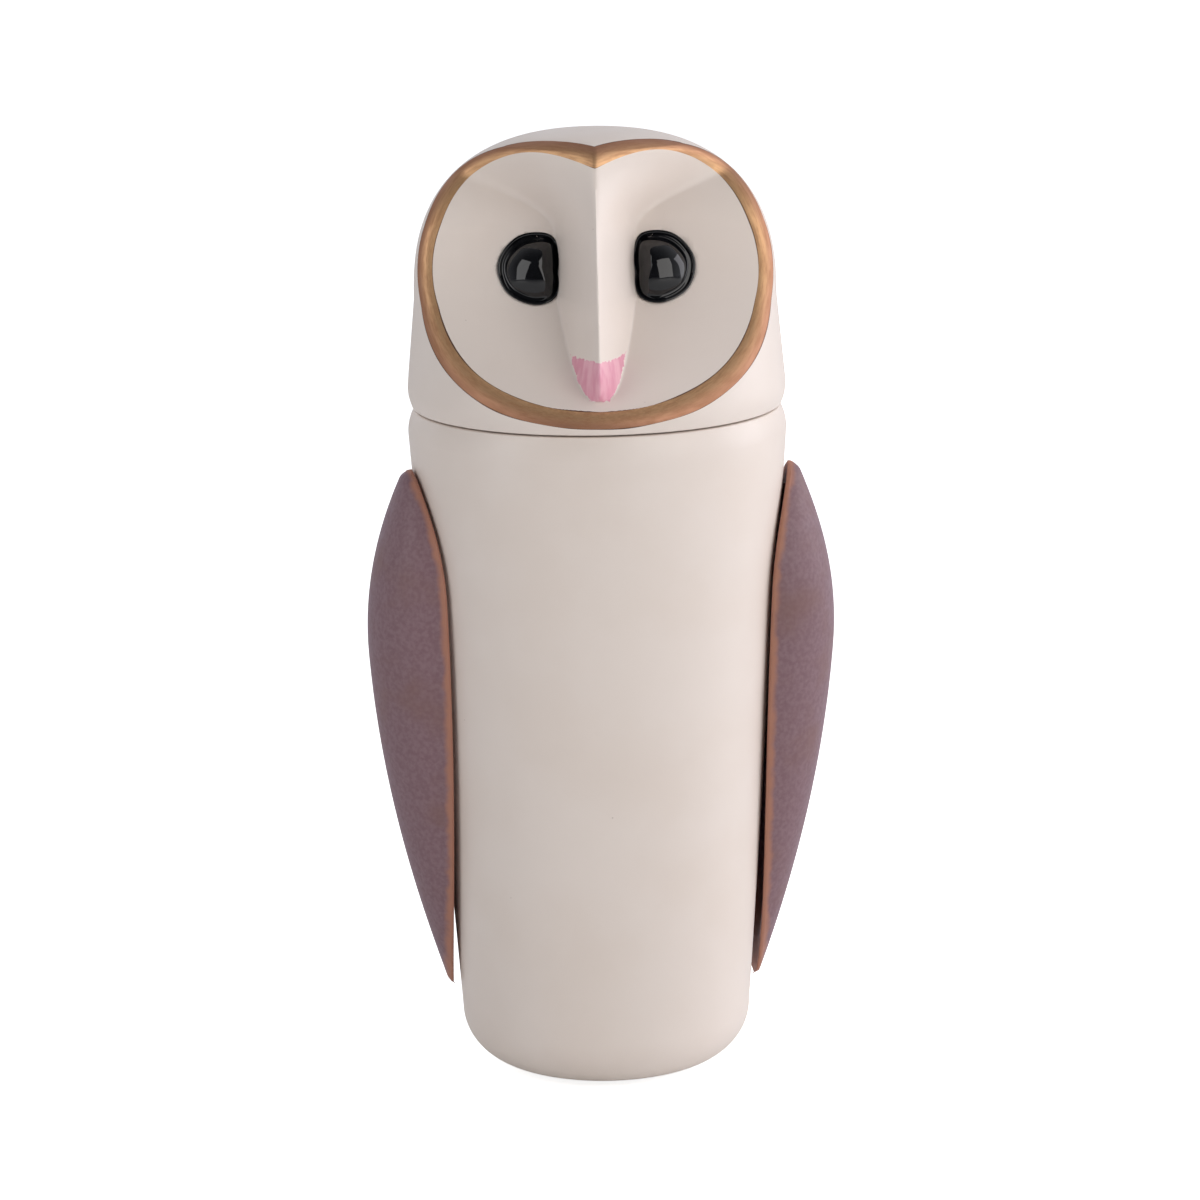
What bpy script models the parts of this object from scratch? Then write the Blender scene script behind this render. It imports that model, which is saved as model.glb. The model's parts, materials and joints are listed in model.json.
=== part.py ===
"""Owl jar: a turned ceramic body with two shell wings and a lift-off head.

Run with: blender --background --python part.py
Metres, +Z up, origin under the middle of the foot, owl looking along -Y.
Left and right are as seen from the front, so the left wing is on -X.
"""
import math

import bmesh
import bpy
from mathutils import Matrix, Vector

MM = 0.001
GAP = 0.3 * MM                 # clearance between pieces that touch or are stuck together

# Body: a tapering beaker with a well rounded foot
FOOT_Z = 1.2 * MM              # underside of the ceramic, above the felt pad
FOOT_CORNER = 14.5 * MM
FOOT_R = 22.7 * MM             # flat middle of the underside
WAIST_R = 38.3 * MM            # radius where the taper starts
WAIST_Z = 18.0 * MM
TAPER = 0.0711                 # radius gained per unit of height
WALL = 4.5 * MM
SEAM_Z = 177.5 * MM            # middle of the joint between body and head
SEAM_GAP = 0.5 * MM
EDGE_DROP = 6.2 * MM           # height of the softened edge each side of the joint
EDGE_IN = 1.7 * MM             # how far that edge draws in
BODY_STEPS = 64

# Head: the neck cone ends in a superelliptic dome
HEAD_TOP_Z = 248.9 * MM
BROW_Z = 206.0 * MM
BROW_R = 46.9 * MM
NECK_R = 49.0 * MM
DOME_POWER = 2.5
HEAD_WALL = 5.0 * MM
HEAD_TURN = math.radians(-6.0)   # the head sits a little turned on the body

# Lid plug and its silicone ring
PLUG_R = 41.2 * MM
PLUG_INNER_R = 36.2 * MM
PLUG_Z = 165.0 * MM
GROOVE_LOW_Z = 168.6 * MM
GROOVE_HIGH_Z = 173.0 * MM
GROOVE_DEPTH = 1.6 * MM
SEAL_R = 43.9 * MM

# Face: the front of the dome is cut away by a curved wall that runs straight across
FACE_Y = -8.0 * MM             # depth of the upper, upright part of the cut
SCOOP_Z = 225.0 * MM           # below this height the cut curves forwards
SCOOP_H = 43.5 * MM
SCOOP_D = 41.0 * MM
BROW_LEAN = 19.6 * MM          # how far the cut leans back between that height and the top
NOSE_TOP = (-21.8 * MM, 247.0 * MM)     # crest of the nose, (y, z), where it meets the dome
NOSE_LOW = (-47.3 * MM, 190.0 * MM)
BEAK_Z = 185.4 * MM            # tip of the beak
BEAK_ROUND_Z = 194.0 * MM      # the crest starts to curve in to the tip here
NOSE_HALF = 9.9 * MM           # half-width of the nose between the eyes
NOSE_HALF_Z = 208.0 * MM
NOSE_BLUNT = 0.35              # how fast the beak widens from its tip; lower is blunter
BROW_SPREAD = 45.8 * MM        # extra half-width of the nose at the top of the face
NOSE_WIDEST = 44.0 * MM
NOSE_BULGE = 0.9               # below 1 the flanks are rounded, above 1 they are hollow
FOOT_SOFT = 0.05               # how softly the foot of the nose meets the face, low down
BROW_SOFT = 0.25               # and how much softer beside the brows
BROW_SOFT_H = 14.0 * MM        # height over which it becomes soft, above the eyes' middles

# Eyes
EYE_X = {-1.0: 15.4 * MM, 1.0: 15.9 * MM}   # the eyes were set by hand, one nearer the nose
EYE_Z = 214.3 * MM
EYE_R = 9.4 * MM
EYE_DOME = 4.9 * MM
EYE_SEAT = 1.2 * MM            # depth of the socket
EYE_FLAT = 5.8 * MM            # from the middle of an eye to its straight side along the nose

# Wings: leaf-shaped shells, open towards the body
WING_TOP_Z = 161.5 * MM
WING_LOW_Z = 19.5 * MM
WING_WIDE_Z = 128.0 * MM       # height of the widest part of the leaf
WING_DEEP_Z = 112.0 * MM       # height where the shell stands out most
WING_HALF = 18.4 * MM          # from the middle line to the front rim
WING_REAR = 1.25               # the rear half is this much wider than the front half
WING_OUT = 16.2 * MM           # how far it stands out from the body
WING_TIP = 3.0 * MM            # how far the blunt tips stand out
TIP_ROUND = 2.4 * MM           # length over which a tip closes
WING_LEAN = (-6.0 * MM, 3.0 * MM)       # y of the leaf's middle line at its top and low tips
WING_WALL = 3.6 * MM
WING_RISE = 1.5 * MM           # the left wing hangs this much higher than the right
RIM_GAP_TOP = 0.8 * MM
RIM_GAP_LOW = 2.2 * MM

# Pegs that hold the wings, and the rubber grommets in the body wall
PEG_Z = {"upper": 136.0 * MM, "lower": 86.0 * MM}
PEG_R = 2.85 * MM
PEG_END_IN = 3.0 * MM          # how far a peg reaches past the inner wall
BOSS_R = 6.0 * MM
BORE_R = 3.25 * MM
WALL_HOLE_R = 4.9 * MM
GROMMET_R = 4.6 * MM
FLANGE_R = 6.6 * MM
FLANGE_T = 1.0 * MM

PAD_R = 21.5 * MM

COLOURS = {
    "cream_glaze": ((0.64, 0.56, 0.49), 0.45, 0.0),
    "eye_black": ((0.008, 0.009, 0.012), 0.06, 0.0),
    "wing_glaze": ((0.19, 0.12, 0.14), 0.6, 0.0),
    "bisque": ((0.55, 0.36, 0.27), 0.8, 0.0),
    "silicone": ((0.75, 0.74, 0.72), 0.5, 0.0),
    "rubber": ((0.03, 0.03, 0.03), 0.7, 0.0),
    "felt": ((0.10, 0.09, 0.09), 0.95, 0.0),
}


def body_radius(z):
    """Outer radius of the body's taper."""
    return WAIST_R + TAPER * (z - WAIST_Z)


def clear_scene():
    for item in list(bpy.data.objects):
        bpy.data.objects.remove(item, do_unlink=True)


def make_collection(name):
    made = bpy.data.collections.new(name)
    bpy.context.scene.collection.children.link(made)
    return made


def make_material(name):
    colour, roughness, metallic = COLOURS[name]
    made = bpy.data.materials.new(name)
    made.use_nodes = True
    shader = made.node_tree.nodes["Principled BSDF"]
    shader.inputs["Base Color"].default_value = (*colour, 1.0)
    shader.inputs["Roughness"].default_value = roughness
    shader.inputs["Metallic"].default_value = metallic
    return made


def add_object(name, mesh, collection, material=None):
    made = bpy.data.objects.new(name, mesh)
    collection.objects.link(made)
    if material:
        mesh.materials.append(material)
    return made


def as_cutter(item):
    item.hide_render = True
    item.display_type = "WIRE"
    return item


def cut(item, cutter, operation="DIFFERENCE"):
    step = item.modifiers.new(cutter.name, "BOOLEAN")
    step.operation = operation
    step.object = cutter
    step.solver = "EXACT"


def mesh_from(work, name):
    """Turn a bmesh into a smooth-shaded mesh."""
    mesh = bpy.data.meshes.new(name)
    work.to_mesh(mesh)
    work.free()
    mesh.shade_smooth()
    mesh.set_sharp_from_angle(angle=math.radians(35.0))
    return mesh


def turned(name, profile, steps, collection, material=None, closed=False):
    """Turn a profile of (radius, z) points about Z. Its outer side runs downwards."""
    work = bmesh.new()
    points = [work.verts.new((r, 0.0, z)) for r, z in profile]
    for first, second in zip(points, points[1:]):
        work.edges.new((first, second))
    if closed:
        work.edges.new((points[-1], points[0]))
    mesh = bpy.data.meshes.new(name)
    work.to_mesh(mesh)
    work.free()
    made = add_object(name, mesh, collection, material)
    screw = made.modifiers.new("turn", "SCREW")
    screw.steps = steps
    screw.render_steps = steps
    screw.use_merge_vertices = True
    screw.merge_threshold = 1e-6
    screw.use_smooth_shade = True
    return made


def arc(centre, radius, start, end, steps):
    """Points on a circle between two angles in degrees, ends included."""
    points = []
    for i in range(steps + 1):
        angle = math.radians(start + (end - start) * i / steps)
        points.append((centre[0] + radius * math.cos(angle), centre[1] + radius * math.sin(angle)))
    return points


def soft_edge(side_r, side_z, seam_z, steps):
    """Points from an upright side to the edge at the joint, curving gently inwards."""
    drop = seam_z - side_z
    radius = (drop ** 2 + EDGE_IN ** 2) / (2.0 * EDGE_IN)
    points = []
    for i in range(steps + 1):
        rise = drop * i / steps
        inset = radius - math.sqrt(radius ** 2 - rise ** 2)
        points.append((side_r - inset, side_z + rise))
    return points


def cylinder_x(name, centre, radius, x_low, x_high, collection, material=None, steps=24):
    """A cylinder along X through centre's y and z."""
    work = bmesh.new()
    length = x_high - x_low
    bmesh.ops.create_cone(work, cap_ends=True, segments=steps, radius1=radius,
                          radius2=radius, depth=length)
    turn = Matrix.Rotation(math.radians(90.0), 4, "Y")
    place = Matrix.Translation(((x_low + x_high) / 2.0, centre[0], centre[1]))
    bmesh.ops.transform(work, matrix=place @ turn, verts=work.verts)
    return add_object(name, mesh_from(work, name), collection, material)


# ---------------------------------------------------------------- body

def build_body(parts, cutters, glaze):
    rim_z = SEAM_Z - SEAM_GAP / 2.0
    side_z = rim_z - EDGE_DROP
    inner_foot_z = FOOT_Z + WALL + 1.5 * MM
    inner_corner = FOOT_CORNER - WALL
    inner_r = body_radius(inner_foot_z + inner_corner) - WALL
    mouth_r = body_radius(side_z) - WALL
    inside = [(0.0, inner_foot_z)]
    inside += arc((inner_r - inner_corner, inner_foot_z + inner_corner), inner_corner, -90.0, 0.0, 4)
    inside += [(mouth_r, side_z), (mouth_r, rim_z)]
    edge = soft_edge(body_radius(side_z), side_z, rim_z, 4)
    outside = list(reversed(edge))
    foot_side = FOOT_R + FOOT_CORNER
    outside += arc((FOOT_R, FOOT_Z + FOOT_CORNER), FOOT_CORNER, 0.0, -90.0, 8)
    outside[len(edge)] = (foot_side + 0.6 * MM, FOOT_Z + FOOT_CORNER)
    body = turned("body_vessel", inside + outside + [(0.0, FOOT_Z)], BODY_STEPS, parts, glaze)
    for side, name in ((-1.0, "left"), (1.0, "right")):
        for place, z in PEG_Z.items():
            height = z + (WING_RISE if side < 0.0 else 0.0)
            reach = sorted((side * (body_radius(z) - 3.0 * WALL), side * (body_radius(z) + WALL)))
            hole = cylinder_x(f"{name}_{place}_wall_hole", (wing_middle(z), height), WALL_HOLE_R,
                              reach[0], reach[1], cutters, steps=20)
            cut(body, as_cutter(hole))
    return body


def build_pad(parts, felt):
    work = bmesh.new()
    depth = FOOT_Z - GAP
    bmesh.ops.create_cone(work, cap_ends=True, segments=48, radius1=PAD_R, radius2=PAD_R,
                          depth=depth)
    bmesh.ops.translate(work, vec=(0.0, 0.0, depth / 2.0), verts=work.verts)
    add_object("base_pad", mesh_from(work, "base_pad"), parts, felt)


# ---------------------------------------------------------------- head

def head_radius(z):
    """Outer radius of the head at height z."""
    if z <= BROW_Z:
        return NECK_R + (BROW_R - NECK_R) * (z - SEAM_Z - EDGE_DROP) / (BROW_Z - SEAM_Z - EDGE_DROP)
    rise = (z - BROW_Z) / (HEAD_TOP_Z - BROW_Z)
    return BROW_R * (1.0 - rise ** DOME_POWER) ** (1.0 / DOME_POWER)


def dome_profile(inset, steps):
    """Superellipse from the crown down to the brow, drawn in by inset."""
    points = []
    for i in range(steps + 1):
        angle = math.radians(90.0) * i / steps
        radius = (BROW_R - inset) * math.sin(angle) ** (2.0 / DOME_POWER)
        rise = (HEAD_TOP_Z - BROW_Z - inset) * max(math.cos(angle), 0.0) ** (2.0 / DOME_POWER)
        points.append((radius, BROW_Z + rise))
    points[0] = (0.0, HEAD_TOP_Z - inset)
    return points


def floor_y(z):
    """Depth of the face's curved wall at height z."""
    low = max(SCOOP_Z - z, 0.0) / SCOOP_H
    high = max(z - SCOOP_Z, 0.0) / (HEAD_TOP_Z - SCOOP_Z)
    return FACE_Y - SCOOP_D * low ** 2 + BROW_LEAN * high ** 1.5


def nose_height(z):
    """How far the crest of the nose stands in front of the face's wall."""
    (top_y, top_z), (low_y, low_z) = NOSE_TOP, NOSE_LOW
    crest = low_y + (top_y - low_y) * (z - low_z) / (top_z - low_z)
    height = floor_y(z) - crest
    if z < BEAK_ROUND_Z:
        along = min((BEAK_ROUND_Z - z) / (BEAK_ROUND_Z - BEAK_Z), 1.0)
        height *= math.sqrt(1.0 - along ** 2)
    return max(height, 0.0)


def nose_half_width(z):
    if z < NOSE_HALF_Z:
        along = max((z - BEAK_Z) / (NOSE_HALF_Z - BEAK_Z), 0.02)
        return NOSE_HALF * along ** NOSE_BLUNT
    spread = max(z - SCOOP_Z, 0.0) / (HEAD_TOP_Z - SCOOP_Z)
    return min(NOSE_HALF + BROW_SPREAD * spread ** 2, NOSE_WIDEST)


def nose_share(x, z):
    """Share of the crest's height that the nose still has at x."""
    left = 1.0 - abs(x) / nose_half_width(z)
    rise = min(max((z - EYE_Z) / BROW_SOFT_H, 0.0), 1.0)
    soft = FOOT_SOFT + BROW_SOFT * rise * rise * (3.0 - 2.0 * rise)
    if left < soft:
        left = max(left + soft, 0.0) ** 2 / (4.0 * soft)
    return left ** NOSE_BULGE


def face_volume(name, cutters, back_off, with_nose, columns, rows):
    """The space in front of the face: a curved wall, drawn forwards to a flat front."""
    low_z, high_z, reach, front = 177.0 * MM, 256.0 * MM, 56.0 * MM, -70.0 * MM
    work = bmesh.new()
    bmesh.ops.create_grid(work, x_segments=columns, y_segments=rows, size=1.0)
    inner = 0.5                       # share of the columns that carry the nose
    for vert in work.verts:
        across, up = vert.co.x, (vert.co.y + 1.0) / 2.0
        z = low_z + (high_z - low_z) * up
        half = nose_half_width(z)
        part = min(abs(across) / inner, 1.0)
        outer = max(abs(across) - inner, 0.0) / (1.0 - inner)
        x = math.copysign(half * part + (reach - half) * outer ** 1.3, across)
        if abs(across) < 1e-6:
            x = 0.0
        y = floor_y(z) + back_off
        if with_nose:
            y -= nose_height(z) * nose_share(x, z)
        vert.co = (x, max(y, front + 2.0 * MM), z)
    grown = bmesh.ops.extrude_face_region(work, geom=list(work.faces))
    for item in grown["geom"]:
        if isinstance(item, bmesh.types.BMVert):
            item.co.y = front
    bmesh.ops.recalc_face_normals(work, faces=work.faces)
    return as_cutter(add_object(name, mesh_from(work, name), cutters))


def eye_matrix(side):
    """Place of an eye: its own Z points out of the face."""
    lean = math.atan(2.0 * SCOOP_D * (SCOOP_Z - EYE_Z) / SCOOP_H ** 2)
    place = Matrix.Translation((side * EYE_X[side], floor_y(EYE_Z), EYE_Z))
    return place @ Matrix.Rotation(math.radians(90.0) - lean, 4, "X")


def trim_inner_side(work, side, x):
    """Cut away what lies nearer the nose than x and close the cut."""
    made = bmesh.ops.bisect_plane(work, geom=work.verts[:] + work.edges[:] + work.faces[:],
                                  plane_co=(side * x, 0.0, 0.0), plane_no=(-side, 0.0, 0.0),
                                  clear_outer=True)
    edges = [item for item in made["geom_cut"] if isinstance(item, bmesh.types.BMEdge)]
    bmesh.ops.edgeloop_fill(work, edges=edges)


def build_eye(name, side, parts, black, parent):
    work = bmesh.new()
    bmesh.ops.create_uvsphere(work, u_segments=28, v_segments=14, radius=1.0)
    made = bmesh.ops.bisect_plane(work, geom=work.verts[:] + work.edges[:] + work.faces[:],
                                  plane_co=(0.0, 0.0, 0.0), plane_no=(0.0, 0.0, -1.0),
                                  clear_outer=True)
    rim = [item for item in made["geom_cut"] if isinstance(item, bmesh.types.BMEdge)]
    low = bmesh.ops.extrude_edge_only(work, edges=rim)["geom"]
    bmesh.ops.scale(work, vec=(EYE_R, EYE_R, EYE_DOME), verts=work.verts)
    for item in low:
        if isinstance(item, bmesh.types.BMVert):
            item.co.z = GAP - EYE_SEAT
    bmesh.ops.holes_fill(work, edges=work.edges)
    bmesh.ops.transform(work, matrix=eye_matrix(side), verts=work.verts)
    trim_inner_side(work, side, EYE_X[side] - EYE_FLAT)
    bmesh.ops.recalc_face_normals(work, faces=work.faces)
    made = add_object(name, mesh_from(work, name), parts, black)
    made.parent = parent


def eye_socket(name, side, cutters):
    work = bmesh.new()
    depth = EYE_SEAT + 12.0 * MM
    bmesh.ops.create_cone(work, cap_ends=True, segments=28, radius1=EYE_R + GAP,
                          radius2=EYE_R + GAP, depth=depth)
    bmesh.ops.translate(work, vec=(0.0, 0.0, depth / 2.0 - EYE_SEAT), verts=work.verts)
    bmesh.ops.transform(work, matrix=eye_matrix(side), verts=work.verts)
    trim_inner_side(work, side, EYE_X[side] - EYE_FLAT - GAP)
    return as_cutter(add_object(name, mesh_from(work, name), cutters))


def build_head(parts, cutters, glaze, parent):
    base_z = SEAM_Z + SEAM_GAP / 2.0
    side_z = base_z + EDGE_DROP
    profile = dome_profile(0.0, 14)
    profile += [(r, z) for r, z in soft_edge(NECK_R, side_z, base_z, 4)]
    groove_r = PLUG_R - GROOVE_DEPTH
    profile += [(PLUG_R, base_z), (PLUG_R, GROOVE_HIGH_Z), (groove_r, GROOVE_HIGH_Z),
                (groove_r, GROOVE_LOW_Z), (PLUG_R, GROOVE_LOW_Z), (PLUG_R, PLUG_Z + 1.0 * MM),
                (PLUG_R - 1.0 * MM, PLUG_Z), (0.0, PLUG_Z)]
    head = turned("head_lid", profile, BODY_STEPS, parts, glaze)

    hollow_profile = dome_profile(HEAD_WALL, 8)
    hollow_profile += [(NECK_R - 1.3 * HEAD_WALL, 188.0 * MM), (PLUG_INNER_R, 181.0 * MM),
                       (PLUG_INNER_R, PLUG_Z - 5.0 * MM), (0.0, PLUG_Z - 5.0 * MM)]
    hollow = as_cutter(turned("head_hollow", hollow_profile, 40, cutters))
    guard = face_volume("face_backing", cutters, HEAD_WALL, False, 8, 12)
    cut(hollow, guard)

    face = face_volume("face_cut", cutters, 0.0, True, 24, 26)
    sockets = [eye_socket(f"{name}_eye_socket", side, cutters)
               for side, name in ((-1.0, "left"), (1.0, "right"))]
    for cutter in [hollow, face] + sockets:
        cut(head, cutter)
    for item in [head, hollow, guard, face] + sockets:
        item.parent = parent
    return head


def build_seal(parts, silicone):
    inner_r = PLUG_R - GROOVE_DEPTH + GAP
    low_z, high_z = GROOVE_LOW_Z + GAP, GROOVE_HIGH_Z - GAP
    lip = 1.2 * MM
    profile = [(inner_r, high_z), (SEAL_R - lip, high_z), (SEAL_R, high_z - lip),
               (SEAL_R, low_z + lip), (SEAL_R - lip, low_z), (inner_r, low_z)]
    turned("lid_seal", profile, 48, parts, silicone, closed=True)


# ---------------------------------------------------------------- wings

def wing_middle(z):
    """Y of the leaf's middle line at height z."""
    top_y, low_y = WING_LEAN
    return top_y + (low_y - top_y) * (WING_TOP_Z - z) / (WING_TOP_Z - WING_LOW_Z)


def wing_half_width(z):
    """Distance from the middle line to the front edge at height z."""
    if z > WING_WIDE_Z:
        t = min((z - WING_WIDE_Z) / (WING_TOP_Z - WING_WIDE_Z), 1.0)
        share = (1.0 - t ** 2.2) ** 0.75
    else:
        t = min((WING_WIDE_Z - z) / (WING_WIDE_Z - WING_LOW_Z), 1.0)
        share = (1.0 - t ** 2) ** 0.55
    return WING_TIP / 2.0 + (WING_HALF - WING_TIP / 2.0) * share


def wing_depth(z):
    """How far the shell stands out from the body at height z."""
    end_z = WING_TOP_Z if z > WING_DEEP_Z else WING_LOW_Z
    t = min((z - WING_DEEP_Z) / (end_z - WING_DEEP_Z), 1.0)
    return WING_TIP + (WING_OUT - WING_TIP) * (1.0 - t ** 2) ** 1.05


def tip_share(z, top_z, low_z):
    """1 along the wing, falling to 0 in a quarter circle at each tip."""
    left = min(top_z - z, z - low_z) / TIP_ROUND
    return math.sqrt(max(1.0 - (1.0 - min(left, 1.0)) ** 2, 0.0))


def wing_form(name, side, inset, end_inset, around, along, collection, material=None):
    """A closed leaf-shaped body: a sphere whose rings become the wing's cross-sections."""
    work = bmesh.new()
    bmesh.ops.create_uvsphere(work, u_segments=around, v_segments=along, radius=1.0)
    rise = WING_RISE if side < 0.0 else 0.0
    top_z, low_z = WING_TOP_Z - end_inset, WING_LOW_Z + 1.4 * end_inset
    for vert in work.verts:
        z = low_z + (top_z - low_z) * (vert.co.z + 1.0) / 2.0
        angle = math.atan2(vert.co.y, vert.co.x)
        close = tip_share(z, top_z, low_z)
        half = max(wing_half_width(z) - inset, 0.5 * MM) * close
        if vert.co.y > 0.0:
            half *= WING_REAR
        full = wing_half_width(z) / WING_HALF
        centre = body_radius(z) + 1.9 * MM - 4.6 * MM * full ** 0.7
        deep = max(body_radius(z) + wing_depth(z) - centre - inset, 0.5 * MM) * close
        x = centre + deep * math.cos(angle)
        y = wing_middle(z) + half * math.sin(angle)
        vert.co = (side * x, y, z + rise)
    if side < 0.0:
        bmesh.ops.reverse_faces(work, faces=work.faces)
    return add_object(name, mesh_from(work, name), collection, material)


def rim_clearance(name, cutters):
    """A cone a little wider than the body, which shapes the wings' rims."""
    work = bmesh.new()
    low_z, high_z = 5.0 * MM, 175.0 * MM
    low_r = body_radius(low_z) + RIM_GAP_LOW
    high_r = body_radius(high_z) + RIM_GAP_TOP
    bmesh.ops.create_cone(work, cap_ends=True, segments=BODY_STEPS, radius1=low_r,
                          radius2=high_r, depth=high_z - low_z)
    bmesh.ops.translate(work, vec=(0.0, 0.0, (low_z + high_z) / 2.0), verts=work.verts)
    return as_cutter(add_object(name, mesh_from(work, name), cutters))


def span_x(side, near, far):
    """The low and high x of a piece between two distances from the axis."""
    return sorted((side * near, side * far))


def build_wing(side, name, parts, cutters, clearance, materials, parent):
    wing = wing_form(f"{name}_wing", side, 0.0, 0.0, 28, 20, parts, materials["wing_glaze"])
    hollow = as_cutter(wing_form(f"{name}_wing_hollow", side, WING_WALL, 6.0 * MM, 20, 14, cutters))
    cut(wing, hollow)
    wing.parent = parent
    hollow.parent = parent
    rise = WING_RISE if side < 0.0 else 0.0
    bosses, holes = [], []
    for place, z in PEG_Z.items():
        axis = (wing_middle(z), z + rise)
        shell_x = body_radius(z) + wing_depth(z)
        boss_low, boss_high = span_x(side, body_radius(z) + 3.2 * MM, shell_x - WING_WALL / 2.0)
        boss = cylinder_x(f"{name}_{place}_boss", axis, BOSS_R, boss_low, boss_high, cutters)
        hole_low, hole_high = span_x(side, body_radius(z) - WALL, shell_x - WING_WALL)
        hole = cylinder_x(f"{name}_{place}_boss_hole", axis, PEG_R + GAP, hole_low, hole_high,
                          cutters, steps=20)
        peg_near = body_radius(z) - WALL - PEG_END_IN
        peg_low, peg_high = span_x(side, peg_near, shell_x - WING_WALL - GAP)
        peg = cylinder_x(f"{name}_wing_peg_{place}", axis, PEG_R, peg_low, peg_high, parts,
                         materials["bisque"], steps=20)
        for item in (boss, hole, peg):
            item.parent = parent
        bosses.append(as_cutter(boss))
        holes.append(as_cutter(hole))
        build_grommet(f"{name}_grommet_{place}", side, axis, z, parts, materials["rubber"])
    for boss in bosses:
        cut(wing, boss, "UNION")
    for hole in holes:
        cut(wing, hole)
    cut(wing, clearance)


def build_grommet(name, side, axis, z, parts, rubber):
    """A rubber bush with a flange on each side of the body wall, its axis along X."""
    slope = TAPER * FLANGE_R
    off_axis = abs(axis[0]) + FLANGE_R
    outer_face = body_radius(z) + slope + GAP
    inner_face = math.sqrt((body_radius(z) - WALL) ** 2 - off_axis ** 2) - slope - GAP
    profile = [(BORE_R, outer_face + FLANGE_T), (FLANGE_R, outer_face + FLANGE_T),
               (FLANGE_R, outer_face), (GROMMET_R, outer_face), (GROMMET_R, inner_face),
               (FLANGE_R, inner_face), (FLANGE_R, inner_face - FLANGE_T),
               (BORE_R, inner_face - FLANGE_T)]
    bush = turned(name, profile, 20, parts, rubber, closed=True)
    bush.location = (0.0, axis[0], axis[1])
    bush.rotation_euler = (0.0, side * math.radians(90.0), 0.0)


def main():
    clear_scene()
    parts = make_collection("owl_jar")
    cutters = make_collection("cutters")
    materials = {name: make_material(name) for name in COLOURS}

    build_body(parts, cutters, materials["cream_glaze"])
    build_pad(parts, materials["felt"])

    head_axis = bpy.data.objects.new("head_axis", None)
    parts.objects.link(head_axis)
    head_axis.location = (0.0, 0.0, 0.0)
    head_axis.rotation_euler = (0.0, 0.0, HEAD_TURN)
    build_head(parts, cutters, materials["cream_glaze"], head_axis)
    build_seal(parts, materials["silicone"])
    for side, name in ((-1.0, "left"), (1.0, "right")):
        build_eye(f"{name}_eye", side, parts, materials["eye_black"], head_axis)

    clearance = rim_clearance("rim_clearance", cutters)
    for side, name in ((-1.0, "left"), (1.0, "right")):
        wing_axis = bpy.data.objects.new(f"{name}_wing_slide", None)
        parts.objects.link(wing_axis)
        build_wing(side, name, parts, cutters, clearance, materials, wing_axis)


main()
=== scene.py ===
# %% [markdown]
# # A barn owl jar in glazed stoneware
#
# The owl is a lidded jar. Its body is a tapering beaker, its head is the lid, and two leaf-shaped shells
# hang at its sides as wings. The working model is already packed as a fixed frame, so this lesson only makes
# finer meshes and real glazes around it, and never moves a part.

# %% Load the frame
import json
import math

import bpy
import numpy as np
from mathutils import Matrix, Vector

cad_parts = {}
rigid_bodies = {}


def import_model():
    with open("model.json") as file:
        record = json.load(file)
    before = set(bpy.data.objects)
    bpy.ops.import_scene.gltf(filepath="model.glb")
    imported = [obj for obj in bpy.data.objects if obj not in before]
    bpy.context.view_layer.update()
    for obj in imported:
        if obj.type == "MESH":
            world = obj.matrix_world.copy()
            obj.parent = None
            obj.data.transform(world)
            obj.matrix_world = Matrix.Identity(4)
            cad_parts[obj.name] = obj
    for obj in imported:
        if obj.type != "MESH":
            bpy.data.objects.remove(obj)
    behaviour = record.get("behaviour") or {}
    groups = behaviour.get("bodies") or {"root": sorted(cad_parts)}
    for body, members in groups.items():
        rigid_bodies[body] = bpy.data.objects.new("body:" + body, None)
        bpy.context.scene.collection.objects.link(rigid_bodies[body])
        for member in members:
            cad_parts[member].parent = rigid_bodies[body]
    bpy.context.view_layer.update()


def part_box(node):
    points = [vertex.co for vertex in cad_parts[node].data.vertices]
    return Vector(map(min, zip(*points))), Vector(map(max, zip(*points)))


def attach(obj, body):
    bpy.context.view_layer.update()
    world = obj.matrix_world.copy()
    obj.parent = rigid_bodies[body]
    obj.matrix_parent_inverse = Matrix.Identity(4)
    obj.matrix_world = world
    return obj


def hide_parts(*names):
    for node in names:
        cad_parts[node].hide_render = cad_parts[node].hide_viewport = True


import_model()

MM = 0.001

# %% [markdown]
# ## Camera, light and floor
#
# A small object is usually shot from far away with a long lens, so that it doesn't look bent. Two tall soft
# boxes stand in front, the right one stronger, a third lights the right side, and the room behind is white. The
# white room matters as much as the lamps: a satin glaze turns pale along its outline because it mirrors what
# is behind it at a flat angle.

# %% Camera
AIM = Vector((0.0, 0.0, 125.0 * MM))
DISTANCE = 1.3


def direction(azimuth, elevation):
    """Unit vector from the owl towards a point. Azimuth 0 is in front and grows anticlockwise from above."""
    a, e = math.radians(azimuth), math.radians(elevation)
    return Vector((math.sin(a) * math.cos(e), -math.cos(a) * math.cos(e), math.sin(e)))


def aimed(obj, place, roll=0.0):
    """Put a camera or lamp at a place, looking at the owl."""
    turn = (place - AIM).to_track_quat("Z", "Y").to_matrix().to_4x4()
    obj.matrix_world = Matrix.Translation(place) @ turn @ Matrix.Rotation(math.radians(roll), 4, "Z")
    bpy.context.scene.collection.objects.link(obj)


camera = bpy.data.objects.new("camera", bpy.data.cameras.new("camera"))
camera.data.sensor_width = 36.0
camera.data.lens = 148.7
aimed(camera, AIM + direction(-7.0, 12.5) * DISTANCE, roll=-0.9)
bpy.context.scene.camera = camera
bpy.context.scene.view_settings.view_transform = "Standard"
print("camera at", [round(v, 3) for v in camera.matrix_world.translation])

# %% [markdown]
# Colours are written the way a colour picker shows them, so one function turns them to the linear light that
# a renderer adds up. A second function adds any node with its settings and links.


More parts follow.
